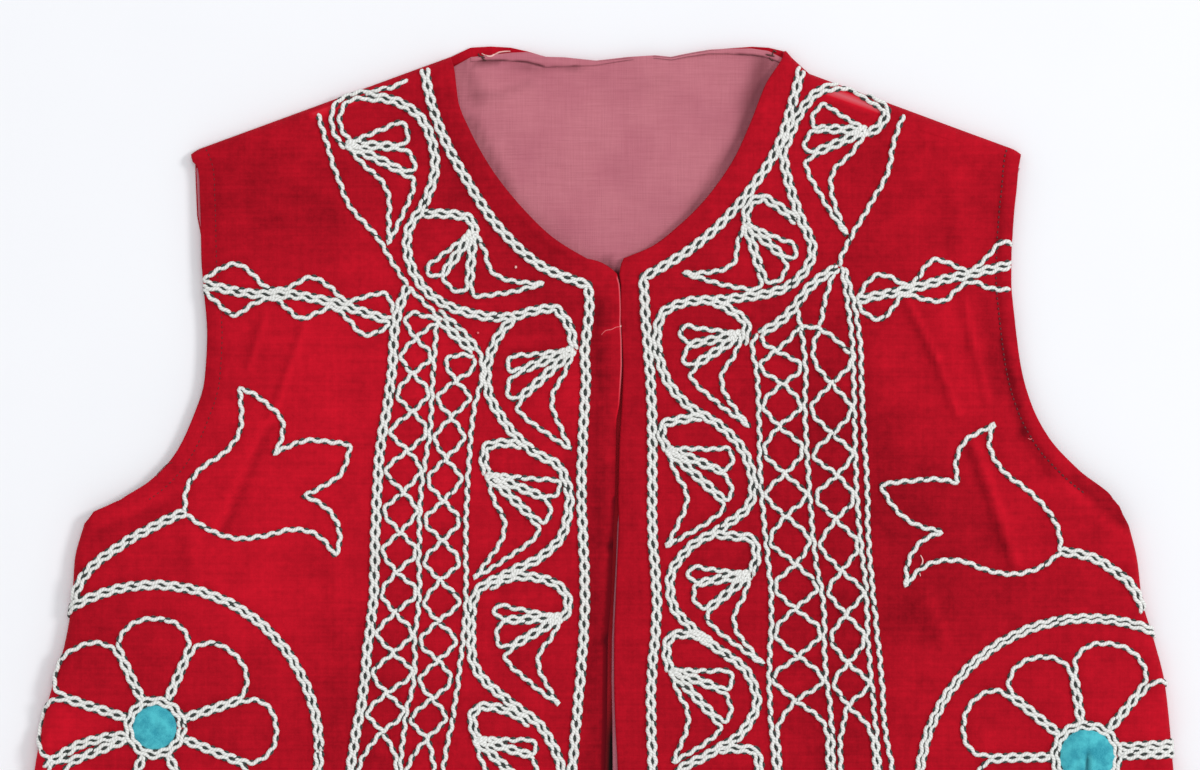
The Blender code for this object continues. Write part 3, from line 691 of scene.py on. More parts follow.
# The cloth turns down at its open edges, the armhole's from just over the underarm, and its
# wall gets thinner there by a share of that.
EDGE_ROLL = 0.9
EDGE_ROLL_WIDTH = 2.6
EDGE_ROLL_POWER = 1.5
EDGE_THINNING = 0.9
OPEN_SIDE_ROW = UNDERARM_ROW + 0.3
# The neck edge stands up from this row on, over so many rows, and less at the shoulder.
NECK_LIFT_ROW = NECK_CORNER_ROW + 0.2
NECK_LIFT_ROWS = 2.0
NECK_LIFT_LOSS = 0.6
# Folds fade in from the edges this fast, and out towards the shoulder by this share.
FOLD_FADE_IN = 2.2
FOLD_LOSS = 0.8
UNDERARM_LIFT_POWER = 1.6
# How far under the underarm's level the side fold's turn ends.
FOLD_STOP = 0.5
# Cords go this far round the side fold, and rays are cast down from this height.
FOLD_REACH = radians(112.0)
RAY_START = 60.0


def cloth_waves(x, y):
    total = np.zeros_like(x)
    for wave in CLOTH_WAVES:
        turn = radians(wave.angle)
        along = x * cos(turn) + y * sin(turn)
        across = y * cos(turn) - x * sin(turn)
        bend = WAVE_BEND * np.sin(across * 2 * pi / (wave.length * WAVE_BEND_LENGTH) + wave.phase * 2.0)
        total += wave.height * np.sin(along * 2 * pi / wave.length + wave.phase + bend)
    return total


def section_fields(front, at):
    """A front's sections at fractional rows, with the top of its side fold as the side's x."""
    column = dict(zip(Section._fields, np.array(front.sections, float).T))
    folded = np.arange(len(front.sections)) <= UNDERARM_ROW
    top_x = np.where(folded, column["side_x"] - front.side * column["side_height"] / 2, column["side_x"])
    edge_y = table_curve(column["edge_y"], at, NECK_CORNER_ROW)
    wander_y, *wanders = zip(*EDGE_WANDER)
    wander = np.interp(edge_y, wander_y, wanders[0 if front.side < 0.0 else 1])
    return {
        "edge_x": table_curve(column["edge_x"], at, NECK_CORNER_ROW) + wander,
        "edge_y": edge_y,
        "top_x": table_curve(top_x, at, UNDERARM_ROW),
        "side_y": table_curve(column["side_y"], at, UNDERARM_ROW),
        "height": table_curve(column["side_height"], at, UNDERARM_ROW),
    }


def fine_fields(front):
    """A front's sections at close steps, a tenth of a row each."""
    at = np.arange(0.0, len(front.sections) - 1 + 0.001, 0.1)
    return at, section_fields(front, at)


def shoulder_direction(front):
    """Unit vector in the plane, square to the shoulder line and pointing past it."""
    top = front.sections[-1]
    line = np.array([top.side_x - top.edge_x, top.side_y - top.edge_y])
    line /= np.linalg.norm(line)
    square = np.array([-line[1], line[0]])
    return square if square[1] > 0.0 else -square


def front_shares():
    """Shares of the way over a front: columns a millimetre apart at both sides, wider between."""
    edge = np.arange(EDGE_COLUMNS) / USUAL_WIDTH
    side = 1.0 - np.arange(SIDE_COLUMNS)[::-1] / USUAL_WIDTH
    return np.concatenate([edge, np.linspace(edge[-1], side[0], COLUMNS)[1:-1], side])


def front_rows(front):
    """Fractional rows of the section table, about evenly far apart on the cloth."""
    counts = []
    for low, high in zip(front.sections, front.sections[1:]):
        edge = np.hypot(high.edge_x - low.edge_x, high.edge_y - low.edge_y)
        side = np.hypot(high.side_x - low.side_x, high.side_y - low.side_y)
        counts.append(max(2, int(np.ceil(max(edge, side) / ROW_STEP))))
    return split_rows(counts)


def drop(tree, x, y):
    """Where a ray from straight above meets a surface, and the surface's normal there."""
    return tree.ray_cast((x, y, RAY_START), (0.0, 0.0, -1.0))[:2]


def dents(x, y, drawn):
    """The cloth is drawn down beside each couched cord and along each line of stitches."""
    total = np.zeros_like(x)
    for points, depth, width in drawn:
        tree = KDTree(len(points))
        for index, point in enumerate(points):
            tree.insert((point[0], point[1], 0.0), index)
        tree.balance()
        away = np.array([tree.find((a, b, 0.0))[2] for a, b in zip(x.ravel(), y.ravel())])
        total += (depth * bell(away, width)).reshape(x.shape)
    return total


class Shell:
    """A front's outer skin as points and quads, with the way from the plane onto it."""

    def __init__(self, front, drawn):
        self.front = front
        self.rows = front_rows(front)
        self.fields = section_fields(front, self.rows)
        self.lift = self.underarm_lift()
        self.last = clamp(self.rows - (len(front.sections) - 2))[:, None]
        share = front_shares()[None, :]
        x, y = self.plan(share)
        from_edge = np.hypot(x - x[:, :1], y - y[:, :1])
        from_side = np.hypot(x - x[:, -1:], y - y[:, -1:])
        z = self.heights(x, y, share, drawn)
        neck = clamp((self.rows - NECK_LIFT_ROW) / NECK_LIFT_ROWS)[:, None]
        z = z + NECK_LIFT * neck * (1.0 - NECK_LIFT_LOSS * self.last) * bell(from_edge, NECK_LIFT_WIDTH)
        open_side = clamp((self.rows[:, None] - OPEN_SIDE_ROW) * 2.0)
        roll_over = EDGE_ROLL * np.exp(-(from_edge / EDGE_ROLL_WIDTH) ** EDGE_ROLL_POWER)
        side_roll = open_side * EDGE_ROLL * np.exp(-(from_side / EDGE_ROLL_WIDTH) ** EDGE_ROLL_POWER)
        roll_over = roll_over + side_roll
        z = z - roll_over
        out = shoulder_direction(front)
        roll = (z - BACK_TOP - SEAM_GAP) * self.last
        self.build(np.stack([x - out[0] * roll, y - out[1] * roll, z], axis=2), out)
        self.thickness = np.full(len(self.points), VELVET_WALL)
        self.thickness[:roll_over.size] -= roll_over.ravel() * EDGE_THINNING
        # The painted tone: tone lines (brushed pile, painted shade and painted highlight), painted light and
        # shade beside folds, and the painted highlight along the centre-front edge.
        over = self.points.T[:2]
        self.nap = soft_lines(front.naps, *over) + fold_painted_light(front.folds, *over)
        # Painted highlight along the centre-front edge, where the pile catches the light edge-on.
        highlit = clamp((y[:, 0] - EDGE_HIGHLIGHT_FROM) / EDGE_HIGHLIGHT_FADE) * (self.rows < NECK_CORNER_ROW)
        self.nap[np.arange(len(self.rows)) * share.size] += front.edge_wear * highlit

    def underarm_lift(self):
        """The armhole's edge runs up and over the side fold, so the cloth reaches higher there."""
        top_y = self.front.sections[UNDERARM_ROW].side_y
        below = clamp(1.0 - (top_y - self.fields["side_y"]) / UNDERARM_LIFT_BELOW)
        above = clamp(1.0 - (self.rows - UNDERARM_ROW))
        return self.front.underarm_lift * np.where(
            self.rows <= UNDERARM_ROW, below ** UNDERARM_LIFT_POWER, above)

    def plan(self, share):
        """Where the skin's rows and columns lie in the plane."""
        front, last = self.front, self.last
        edge_x, edge_y, top_x, side_y = (
            self.fields[name][:, None] for name in ("edge_x", "edge_y", "top_x", "side_y"))
        x = edge_x + (top_x - edge_x) * share
        y = edge_y + (side_y - edge_y) * share
        y = y - last * front.shoulder_drop * (1.0 - share) * np.minimum(share / SHOULDER_DROP_START, 1.0)
        y = y - last * TIP_ROUND * clamp(1.0 - np.abs(x - top_x) / TIP_ROUND_WIDTH) ** 2
        y = y + self.lift[:, None] * bell(x - top_x, UNDERARM_LIFT_WIDTH)
        corner = clamp(self.rows - NECK_CORNER_ROW)[:, None]
        return x, y + front.neck_bulge * 4.0 * corner * (1.0 - corner) * (1.0 - share) ** 2

    def heights(self, x, y, share, drawn):
        """The crowned skin with its creases, folds, waves and the dents of the needlework."""
        rise = 4.0 * share * (1.0 - share)
        side = self.fields["height"][:, None]
        z = FRONT_EDGE_HEIGHT + (side - FRONT_EDGE_HEIGHT) * share + CROWN * rise
        z = z + soft_lines(self.front.creases, x, y) * rise
        soft = clamp(rise * FOLD_FADE_IN) * (1.0 - FOLD_LOSS * self.last)
        z = z + (soft_lines(self.front.folds, x, y) + cloth_waves(x, y)) * soft
        return z + dents(x, y, drawn)

    def build(self, top, out):
        """Joins the top with its turn round the side fold and its roll over the shoulder."""
        front, fields, side = self.front, self.fields, self.front.side
        points = [tuple(point) for point in top.reshape(-1, 3)]
        width = top.shape[1]
        index_rows = [list(range(r * width, (r + 1) * width)) for r in range(len(top))]

        def add(row, *point):
            row.append(len(points))
            points.append(point)

        folded = self.rows <= UNDERARM_ROW
        self.level = fields["side_y"][folded]
        self.turn_x = fields["top_x"][folded]
        self.turn_radius = fields["height"][folded] / 2
        wrap_steps = max(round(front.wrap / WRAP_STEP), 3)
        for row, y, top_x, radius, lift in zip(
                index_rows, self.level, self.turn_x, self.turn_radius, self.lift):
            for step in range(1, FOLD_STEPS + 1):
                angle = pi * step / FOLD_STEPS
                raised = y + lift * (1.0 - sin(angle)) * (angle < pi / 2)
                add(row, top_x + side * radius * sin(angle), raised, radius + radius * cos(angle))
            for step in range(1, wrap_steps + 1):
                add(row, top_x - side * (front.wrap - radius) * step / wrap_steps, y, 0.0)
        for step in range(1, ROLL_STEPS + 1):
            angle = pi / 2 * step / ROLL_STEPS
            index_rows.append([])
            for x, y, z in top[-1]:
                roll = z - BACK_TOP - SEAM_GAP
                add(
                    index_rows[-1], x + out[0] * roll * sin(angle), y + out[1] * roll * sin(angle),
                    z - roll * (1.0 - cos(angle)))
        self.quads = [
            quad[::-1] if side < 0.0 else quad
            for low, high in zip(index_rows, index_rows[1:])
            for quad in zip(low, low[1:], high[1:], high)]
        self.points = np.array(points)
        self.tree = BVHTree.FromPolygons(points, self.quads)

    def drape(self, line):
        """Points of a line in the plane laid onto the cloth, over its side fold where it gets there."""
        places, ups, kept = [], [], []
        side = self.front.side
        for number, (x, y) in enumerate(line[:, :2]):
            turn_x = np.interp(y, self.level, self.turn_x)
            past = side * (x - turn_x)
            if y < self.level[-1] - FOLD_STOP and past > 0.0:
                radius = np.interp(y, self.level, self.turn_radius)
                angle = past / radius
                if angle > FOLD_REACH:
                    continue
                places.append((turn_x + side * radius * sin(angle), y, radius + radius * cos(angle)))
                ups.append((side * sin(angle), 0.0, cos(angle)))
            else:
                hit, normal = drop(self.tree, x, y)
                if hit is None:
                    continue
                places.append(tuple(hit))
                ups.append(tuple(normal if normal.z > 0.0 else -normal))
            kept.append(number)
        return np.array(places), np.array(ups), np.array(kept)


# ---- meshes ----

# The rim's two inner lines stand this share of the wall in from each skin.
RIM_DROOP = 0.35
WALL_SHARP = 75.0
DOME_SHARP = 60.0


def add_object(name, data):
    thing = bpy.data.objects.new(name, data)
    bpy.context.scene.collection.objects.link(thing)
    return thing


def mesh_object(name, vertices, faces, look, replaced=None, uvs=None, sharp=0.0, nap=None):
    """A piece of the vest with its material; sharp is the angle of its hard edges."""
    material, slot = LOOKS[look]
    data = bpy.data.meshes.new(name)
    data.from_pydata((np.asarray(vertices, float) * MM).tolist(), [], faces)
    # The painted tone: on the velvet its brushed pile with painted shade and painted highlight; on the lining
    # and the felt, painted shade.
    if nap is not None:
        data.attributes.new("nap", "FLOAT", "POINT").data.foreach_set("value", nap)
    if uvs is not None:
        data.uv_layers.new(name="cord").data.foreach_set("uv", np.asarray(uvs, float).ravel())
    data.materials.append(material)
    data.shade_smooth()
    if sharp:
        data.set_sharp_from_angle(angle=radians(sharp))
    data.update()
    piece = add_object(name, data)
    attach(piece, "root")
    if replaced:
        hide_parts(replaced)
    return piece


def skin_normals(points, quads):
    quads = np.array(quads)
    corners = points[quads]
    face = np.cross(corners[:, 2] - corners[:, 0], corners[:, 3] - corners[:, 1])
    total = np.zeros_like(points)
    for corner in range(4):
        np.add.at(total, quads[:, corner], face)
    return unit(total)


def rim_edges(quads):
    """Directed edges that only one face has."""
    edges = dict.fromkeys(edge for quad in quads for edge in zip(quad, quad[1:] + quad[:1]))
    return [(a, b) for a, b in edges if (b, a) not in edges]


def closed_wall(name, points, quads, thickness, look, replaced, round_in, nap=None):
    """A closed wall of cloth: an outer skin, an inner one and a rim that is rounded over."""
    normals = skin_normals(points, quads)
    rims = rim_edges(quads)
    outward = {}
    for a, b in rims:
        for vertex in (a, b):
            away = np.cross(points[b] - points[a], normals[vertex])
            outward[vertex] = outward.get(vertex, 0.0) + away
    count = len(points)
    depth = normals * np.broadcast_to(thickness, count)[:, None]
    outer, inner = points.copy(), points - depth
    rim, rim_at = [], {}
    for vertex, away in outward.items():
        away = away / (np.linalg.norm(away) + 1e-12) * round_in
        outer[vertex] -= away
        inner[vertex] -= away
        rim_at[vertex] = 2 * count + len(rim)
        rim += [points[vertex] - depth[vertex] * share for share in (RIM_DROOP, 1.0 - RIM_DROOP)]
    if nap is not None:
        nap = np.concatenate([nap, nap, np.repeat(nap[list(rim_at)], 2)])
    faces = quads + [tuple(count + vertex for vertex in quad[::-1]) for quad in quads]
    for a, b in rims:
        high_a, high_b = rim_at[a], rim_at[b]
        low_a, low_b = high_a + 1, high_b + 1
        faces += [(b, a, high_a, high_b), (high_b, high_a, low_a, low_b)]
        faces.append((low_b, low_a, count + a, count + b))
    vertices = np.concatenate([outer, inner, rim])
    return mesh_object(name, vertices, faces, look, replaced, sharp=WALL_SHARP, nap=nap)


class Strands:
    """Round strands gathered into one mesh, with a UV map that runs round and along each."""

    def __init__(self, sides):
        self.sides = sides
        self.vertices, self.faces, self.uvs = [], [], []
        self.count = 0

    def add(self, centres, sideways, ups, radius, along):
        sides, number = self.sides, len(centres)
        angles = np.arange(sides) * 2 * pi / sides
        ring = sideways[:, None] * np.cos(angles)[:, None] + ups[:, None] * np.sin(angles)[:, None]
        radius = np.broadcast_to(radius, number)[:, None, None]
        self.vertices.append((centres[:, None] + ring * radius).reshape(-1, 3))
        for section in range(number - 1):
            low = self.count + section * sides
            high = low + sides
            v0, v1 = along[section], along[section + 1]
            for k in range(sides):
                after = (k + 1) % sides
                self.faces.append((low + k, low + after, high + after, high + k))
                u0, u1 = k / sides, (k + 1) / sides
                self.uvs.extend(((u0, v0), (u1, v0), (u1, v1), (u0, v1)))
        ends = [self.count + k for k in range(sides)]
        self.faces.append(tuple(ends[::-1]))
        self.faces.append(tuple(k + (number - 1) * sides for k in ends))
        self.uvs.extend([(0.5, along[0])] * sides + [(0.5, along[-1])] * sides)
        self.count += number * sides

    def make(self, name, look):
        return mesh_object(name, np.concatenate(self.vertices), self.faces, look, uvs=self.uvs)


# ---- embroidery ----

# A stretch of cord with fewer points than the first isn't laid, and one with more than the
# second is smoothed.
LEAST_POINTS = 6
SMOOTHED_OVER = 8
CORD_SOFTENING = 3
# How a cord wanders: the wavelength and size of its twist's drift and of its way to the side,
# and the two wavelengths at which its black strand sinks and rises.
DRIFT_LENGTH, DRIFT = 31.0, 0.3
WOBBLE_LENGTH, WOBBLE = 17.0, 0.12
FLECK_LENGTHS = (11.3, 25.7)


def lay_cord(shell, cord, strands):
    """Couches one two-ply cord along its line, whose third column is where its twist has got to."""
    line = resample(cord.line, PITCH / SEGMENTS_PER_PITCH)
    places, ups, kept = shell.drape(line)
    breaks = np.nonzero(np.diff(kept) > 1)[0] + 1
    for part in np.split(np.arange(len(kept)), breaks):
        if len(part) >= LEAST_POINTS:
            twist(places[part], ups[part], line[kept[part], 2], cord, strands)


def twist(places, ups, twisted, cord, strands):
    """The white and the black strand, wound round each other along a line on the cloth."""
    smoothed = len(places) > SMOOTHED_OVER
    ups = unit(soften(ups, CORD_SOFTENING) if smoothed else ups)
    if smoothed:
        moved = soften(places, CORD_SOFTENING) - places
        places = places + ups * np.sum(moved * ups, axis=1)[:, None]
    along = lengths_along(places)
    total = along[-1]
    turns = (twisted[-1] - twisted[0]) / PITCH
    if cord.end_turn is not None:
        extra = (cord.end_turn - cord.start_turn) / (2 * pi)
        turns = max(1.0, round(turns - extra)) + extra
    chance = np.random.default_rng(cord.seed)

    def wander(length):
        return np.sin(twisted * 2 * pi / length + chance.uniform(0, 6.28))

    fade = np.sin(clamp(along / total) * pi)
    drift = wander(DRIFT_LENGTH) * DRIFT
    wobble = WOBBLE * wander(WOBBLE_LENGTH) * fade
    uneven = wander(FLECK_LENGTHS[0]) + wander(FLECK_LENGTHS[1])
    share = (twisted - twisted[0]) / (twisted[-1] - twisted[0])
    phase = cord.start_turn + 2 * pi * turns * share + drift * fade
    _, sideways = line_frame(places, ups)
    sink = END_SINK * clamp(1.0 - np.minimum(along, total - along) / END_LENGTH) ** END_SINK_POWER
    for spec, sunk in ((WHITE, sink), (BLACK, sink + FLECK_CHANGE * uneven)):
        turn = phase + spec.lag
        centres = places + sideways * (spec.sway * np.sin(turn) + wobble)[:, None]
        centres = centres + ups * (spec.height + spec.heave * np.cos(turn) - sunk)[:, None]
        forward, across = line_frame(centres, ups)
        strands[spec.name].add(centres, across, unit(np.cross(forward, across)), spec.radius, along)


# The leaf of a fan: its outer side, as shares of the way from the last ray's end to the tip
# and of the swell beside that way, and its inner side, as shares of the tip's reach and of the
# turn back from the tip. The loops' crowns are shares of the turn and of the reach.
LEAF_OUTER = ((0.05, 0.10), (0.17, 0.125), (0.36, 0.11), (0.56, 0.085), (0.78, 0.045))
LEAF_INNER = ((0.90, 0.08), (0.78, 0.19), (0.68, 0.32), (0.58, 0.44), (0.46, 0.52), (0.27, 0.43))
NARROW_LOOP = ((0.5, 1.05),)
WIDE_LOOP = ((0.22, 1.04), (0.55, 1.11), (0.85, 1.08))
RAY_SHARES = (0.0, 0.35, 0.7, 0.98)


def fan_cords(fan):
    """The three cords of a fan: a narrow loop, a wide one and the leaf."""
    ways = np.array(fan[1:], float) - fan.anchor
    angles, reaches = np.arctan2(ways[:, 1], ways[:, 0]), np.hypot(ways[:, 0], ways[:, 1])
    turns = [(angle - angles[0] + pi) % (2 * pi) - pi for angle in angles]
    hand = 1.0 if turns[3] > 0.0 else -1.0

    def at(turn, reach, offset=0.0):
        return polar(fan.anchor, angles[0] + turn, reach, offset)

    def ray(number, offset):
        return [at(turns[number], reaches[number] * share, offset) for share in RAY_SHARES]

    cords = []
    for start, crown in ((0, NARROW_LOOP), (1, WIDE_LOOP)):
        points = ray(start, HALF_PAIR * hand if start else 0.0)
        for share, growth in crown:
            turn = turns[start] + (turns[start + 1] - turns[start]) * share
            points.append(at(turn, growth * (reaches[start] + (reaches[start + 1] - reaches[start]) * share)))
        cords.append([points + ray(start + 1, -HALF_PAIR * hand)[::-1]])
    outer = ray(2, HALF_PAIR * hand)
    ray_end, tip = at(turns[2], reaches[2]), at(turns[3], reaches[3])
    way_x, way_y = tip[0] - ray_end[0], tip[1] - ray_end[1]
    for share, swell in LEAF_OUTER:
        outer.append((
            ray_end[0] + way_x * share + hand * way_y * swell,
            ray_end[1] + way_y * share - hand * way_x * swell))
    inner = [at(turns[3] - (turns[3] - turns[2]) * back, reaches[3] * share) for share, back in LEAF_INNER]
    cords.append([outer + [tip], inner + [at(turns[3], 0.0)]])
    return cords


# A zigzag's turn between two crossings, as shares of their distance from its middle, and how
# much further off the line it is there. Below the last crossing it follows the line: how far
# down, and how far off.
VERTEX_SHAPE = ((0.11, 0.55), (0.0, 0.0), (-0.11, 0.55))
FOOT_SHAPE = ((9.0, 2.2), (15.0, 0.3), (24.0, 0.3), (45.0, 0.3), (90.0, 0.3), (150.0, 0.3))


def lattice_cords(column, lines, foot_y):
    """Two cords that zigzag between two lines, crossing where the table says."""
    sides = ((lines[column.left], column.left_inset), (lines[column.right], -column.right_inset))
    crossings = column.crossings
    cords = []
    for hand, start in ((1, column.left_start), (0, column.right_start)):
        points = list(start) + [crossings[0]]

        def touch(number, pull, y):
            line, into = sides[(number + hand) % 2]
            order = np.argsort(line[:, 1])
            x = np.interp(y, line[order, 1], line[order, 0])
            points.append((x + into + pull * np.sign(into), y))

        for number, (high, low) in enumerate(zip(crossings, crossings[1:])):
            for share, pull in VERTEX_SHAPE:
                touch(number, pull, (high[1] + low[1]) / 2 + share * abs(high[1] - low[1]))
            points.append(low)
        for fall, pull in FOOT_SHAPE:
            if crossings[-1][1] - fall > foot_y:
                touch(len(crossings) - 1, pull, crossings[-1][1] - fall)
        cords.append([points])
    return cords


# A petal's sides run straight out from just off the ring to a share of its reach, and its
# crown has shares of its sweep and of its reach.
PETAL_START = 1.0
PETAL_SIDE = 0.74
PETAL_CROWN = ((0.06, 0.86), (0.24, 0.965), (0.5, 1.0), (0.76, 0.965), (0.94, 0.86))


def flower_cords(flower):
    """One cord round each petal."""
    ends = flower.partings[1:] + flower.partings[:1]
    cords = []
    for start, end, reach, skew in zip(flower.partings, ends, flower.reaches, flower.skews):
        sweep = (end - start) % 360.0

        def at(share, radius, offset=0.0):
            return polar(flower.centre, radians(90.0 - start - sweep * share), radius, offset)

        steps = np.linspace(flower.ring_radius + PETAL_START, reach * PETAL_SIDE, 4)
        points = [at(0.0, radius, -HALF_PAIR) for radius in steps]
        points += [at(share, reach * out * (1.0 + skew * (0.5 - share))) for share, out in PETAL_CROWN]
        points += [at(1.0, radius, HALF_PAIR) for radius in steps[::-1]]
        cords.append([points])
    return cords


def circle(centre, radius, wobble=0.0, phase=0.0):
    turn = np.linspace(0.0, 2 * pi, 361)
    reach = radius * (1.0 + wobble * np.sin(3 * turn + phase))
    return np.stack([centre[0] + reach * np.cos(turn), centre[1] + reach * np.sin(turn)], axis=1)


HEM_BORDER_Y = -223.0
# The start of a route's name tells its group.
GROUPS = {
    "border": ("border_pair",),
    "scroll": ("wave_", "shoulder_", "palmette_pair"),
    "lattice": ("lattice_",),
    "chain": ("chain_", "tulip"),
    "flower": ("petal_",),
}
# A cord in the plan: its group, its line, the turn it starts at, the one it ends at, if that
# matters, and a seed that the two cords of a pair share.
Cord = namedtuple("Cord", "group line start_turn end_turn seed")
# How far the second cord of a pair is turned against the first: half a turn sets their black
# marks side by side, none sets them by turns.
PAIR_LAG = {"right": {"border": pi, "lattice": pi}, "left": {"border": 2.0, "flower": 1.0}}
USUAL_PAIR_LAG = 1.5
CENTRE_RING_WOBBLE = 0.012


def plan_side(side):
    """Every cord of one front, laid in the plane."""
    work = EMBROIDERY[side]
    lines = {name: route(stretches) for name, stretches in work.routes.items()}
    plan = []

    def add(group, line, end=None):
        plan.append(Cord(group, np.column_stack([line, lengths_along(line, 2)]), 0.0, end, len(plan)))

    def add_pair(group, line):
        seed = len(plan)
        twisted = lengths_along(line, 2)
        lag = PAIR_LAG[side].get(group, USUAL_PAIR_LAG)
        for offset, start in ((HALF_PAIR, 0.0), (-HALF_PAIR, lag)):
            plan.append(Cord(group, np.column_stack([beside(line, offset), twisted]), start, None, seed))

    for name, line in lines.items():
        group = next(group for group, starts in GROUPS.items() if name.startswith(starts))
        (add_pair if name.endswith("_pair") else add)(group, line)
    for hook in work.hooks:
        add_pair("scroll", route(hook))
    for fan in work.fans:
        for cord in fan_cords(fan):
            add("scroll", route(cord), pi)
    for column in work.lattice:
        for cord in lattice_cords(column, lines, HEM_BORDER_Y):
            add("lattice", route(cord))
    for cord in flower_cords(work.flower):
        add("flower", route(cord), pi)
    add_pair("flower", circle(work.flower.centre, work.flower.ring_radius, CENTRE_RING_WOBBLE, phase=1.0))
    add_pair("flower", circle(work.flower.outer_centre, work.flower.outer_radius + HALF_PAIR))
    return plan


# ---- stitches ----

STITCH_SIDES = 5
STITCH_LENGTH = 1.5
STITCH_STEP = 2.3
STITCH_START = 1.0
STITCH_JITTER = 0.15
# A stitch dips in at both ends: its height over the cloth and its share of the thread's radius.
STITCH_ARCH = np.array([-0.25, 0.12, 0.2, 0.12, -0.25])
STITCH_BODY = np.array([0.6, 0.95, 1.0, 0.95, 0.6])
ARMHOLE_SEAM = 7.0
ARMHOLE_SEAM_ROW = UNDERARM_ROW + 1.6
FRONT_SEAM = 5.5
FRONT_SEAM_ROW = 0.2
HEM_SEAM = 9.0
HEM_SEAM_START = 4.0
HEM_SEAM_END = 286.0
# A seam: its line, the groove it draws in the cloth, and its thread's radius, or none if it is hidden.
Seam = namedtuple("Seam", "line depth width thread")


def seam_lines(front):
    """Lines of topstitching: round the armhole, down the front edge with the neck, along the hem."""
    at, fields = fine_fields(front)
    side_line = np.stack([fields["top_x"], fields["side_y"]], axis=1)
    edge_line = np.stack([fields["edge_x"], fields["edge_y"]], axis=1)
    armhole = resample(side_line[at >= ARMHOLE_SEAM_ROW], 1.0)
    edge = resample(edge_line[at >= FRONT_SEAM_ROW], 1.0)
    hem = front.sections[0]
    hem_y = hem.edge_y + HEM_SEAM
    hem_start = hem.edge_x + front.side * HEM_SEAM_START
    hem_line = np.array([(hem_start, hem_y), (front.side * HEM_SEAM_END, hem_y)])
    return [
        Seam(beside(armhole, front.side * ARMHOLE_SEAM), front.armhole_groove, 1.2, front.armhole_thread),
        Seam(beside(edge, -front.side * FRONT_SEAM), depth=-0.18, width=1.4, thread=0.0),
        Seam(resample(hem_line, 1.0), depth=-0.45, width=1.2, thread=0.27),
    ]


def sew(shell, seam, strands, seed):
    """A row of stitches, each a short thread that dips in at both ends."""
    chance = np.random.default_rng(seed)
    line = resample(seam.line, 0.5)
    along = lengths_along(line)
    start = STITCH_START
    while start + STITCH_LENGTH < along[-1]:
        at = start + np.linspace(0.0, STITCH_LENGTH, 5) + chance.uniform(-STITCH_JITTER, STITCH_JITTER)
        start += STITCH_STEP
        places, ups, kept = shell.drape(read_at(line, along, at))
        if len(kept) == len(at):
            _, across = line_frame(places, ups)
            strands.add(places + ups * STITCH_ARCH[:, None], across, ups, seam.thread * STITCH_BODY, at)


LOOSE_SIDES = 6
LOOSE_STEP = 0.3
LOOSE_SUNK = 0.4
TAPER_START = 0.25


def scatter_loose(shell, side):
    """Loose ends and lint, each a short soft strand that lies on the cloth."""
    pieces = []
    for thread in ("pale", "pink", "dark"):
        strands = Strands(LOOSE_SIDES)
        for loose in LOOSE[side]:
            if loose.thread != thread:
                continue
            places, ups, _ = shell.drape(resample(smooth_curve(loose.points, 0.2), LOOSE_STEP))
            travel, across = line_frame(places, ups)
            taper = np.sin(np.linspace(TAPER_START, pi - TAPER_START, len(places))) ** 0.5
            centres = places + ups * (loose.lift + loose.radius * LOOSE_SUNK)
            raised = unit(np.cross(travel, across))
            strands.add(centres, across, raised, loose.radius * taper, lengths_along(places))
        if strands.count:
            pieces.append(strands.make(f"loose_{thread}_{side}", "thread_" + thread))
    return pieces


# ---- flat pieces ----

def back_top_edge():
    """The back's top edge from tip to tip, with the lining's inset at each point."""
    tip = BACK_ARMHOLES[-1]

    def shoulder(start_x, start_y, end_x, end_y, steps, tip_step):
        for step in steps:
            share = step / SHOULDER_COLUMNS
            y = start_y + (end_y - start_y) * share - TIP_ROUND * (step == tip_step)
            yield NeckPoint(start_x + (end_x - start_x) * share, y, SHOULDER_LINING_INSET, 0.0)

    right = shoulder(tip.left_x, tip.y, BACK_NECK[0].x, BACK_NECK[0].y, range(SHOULDER_COLUMNS), 0)
    left = shoulder(*LEFT_SHOULDER_CORNER, tip.right_x, tip.y, range(SHOULDER_COLUMNS + 1), SHOULDER_COLUMNS)
    return [*right, *BACK_NECK, *left]


def back_rows(side_inset, is_lining):
    """Rows of points over the back, from the hem to the shoulders and neck."""
    lines = []
    for right, left in zip(RIGHT.sections[:UNDERARM_ROW + 1], LEFT.sections):
        lines.append((right.side_x + RIGHT.wrap, left.side_x - LEFT.wrap, right.side_y, left.side_y))
    lines += [(armhole.left_x, armhole.right_x, armhole.y, armhole.y) for armhole in BACK_ARMHOLES]
    edge = back_top_edge()
    shaped_from, last = UNDERARM_ROW + 1, len(lines) - 1
    grid = []
    for number, (left_x, right_x, left_y, right_y) in enumerate(lines):
        level = max(0.0, (number - shaped_from) / (last - shaped_from)) ** 1.5
        row = []
        for point in edge:
            share = (point.x - edge[0].x) / (edge[-1].x - edge[0].x)
            x = left_x + side_inset + (right_x - left_x - 2 * side_inset) * share
            y = left_y + (right_y - left_y) * share + (point.y - BACK_ARMHOLES[-1].y) * level
            if number == last and is_lining:
                y -= point.lining_inset
            if number == 0:
                y += side_inset - SEAM_GAP
            row.append((x, y))
        grid.append(row)
    return np.array(grid)


def finer(grid, step):
    """A grid of plane points with straight steps added, so that none is longer than asked."""
    for _ in range(2):
        gaps = np.linalg.norm(np.diff(grid, axis=0), axis=2).max(axis=1)
        at = split_rows([max(1, int(np.ceil(gap / step))) for gap in gaps])
        index = np.minimum(at.astype(int), len(grid) - 2)
        share = (at - index)[:, None, None]
        grid = (grid[index] * (1.0 - share) + grid[index + 1] * share).swapaxes(0, 1)
    return grid


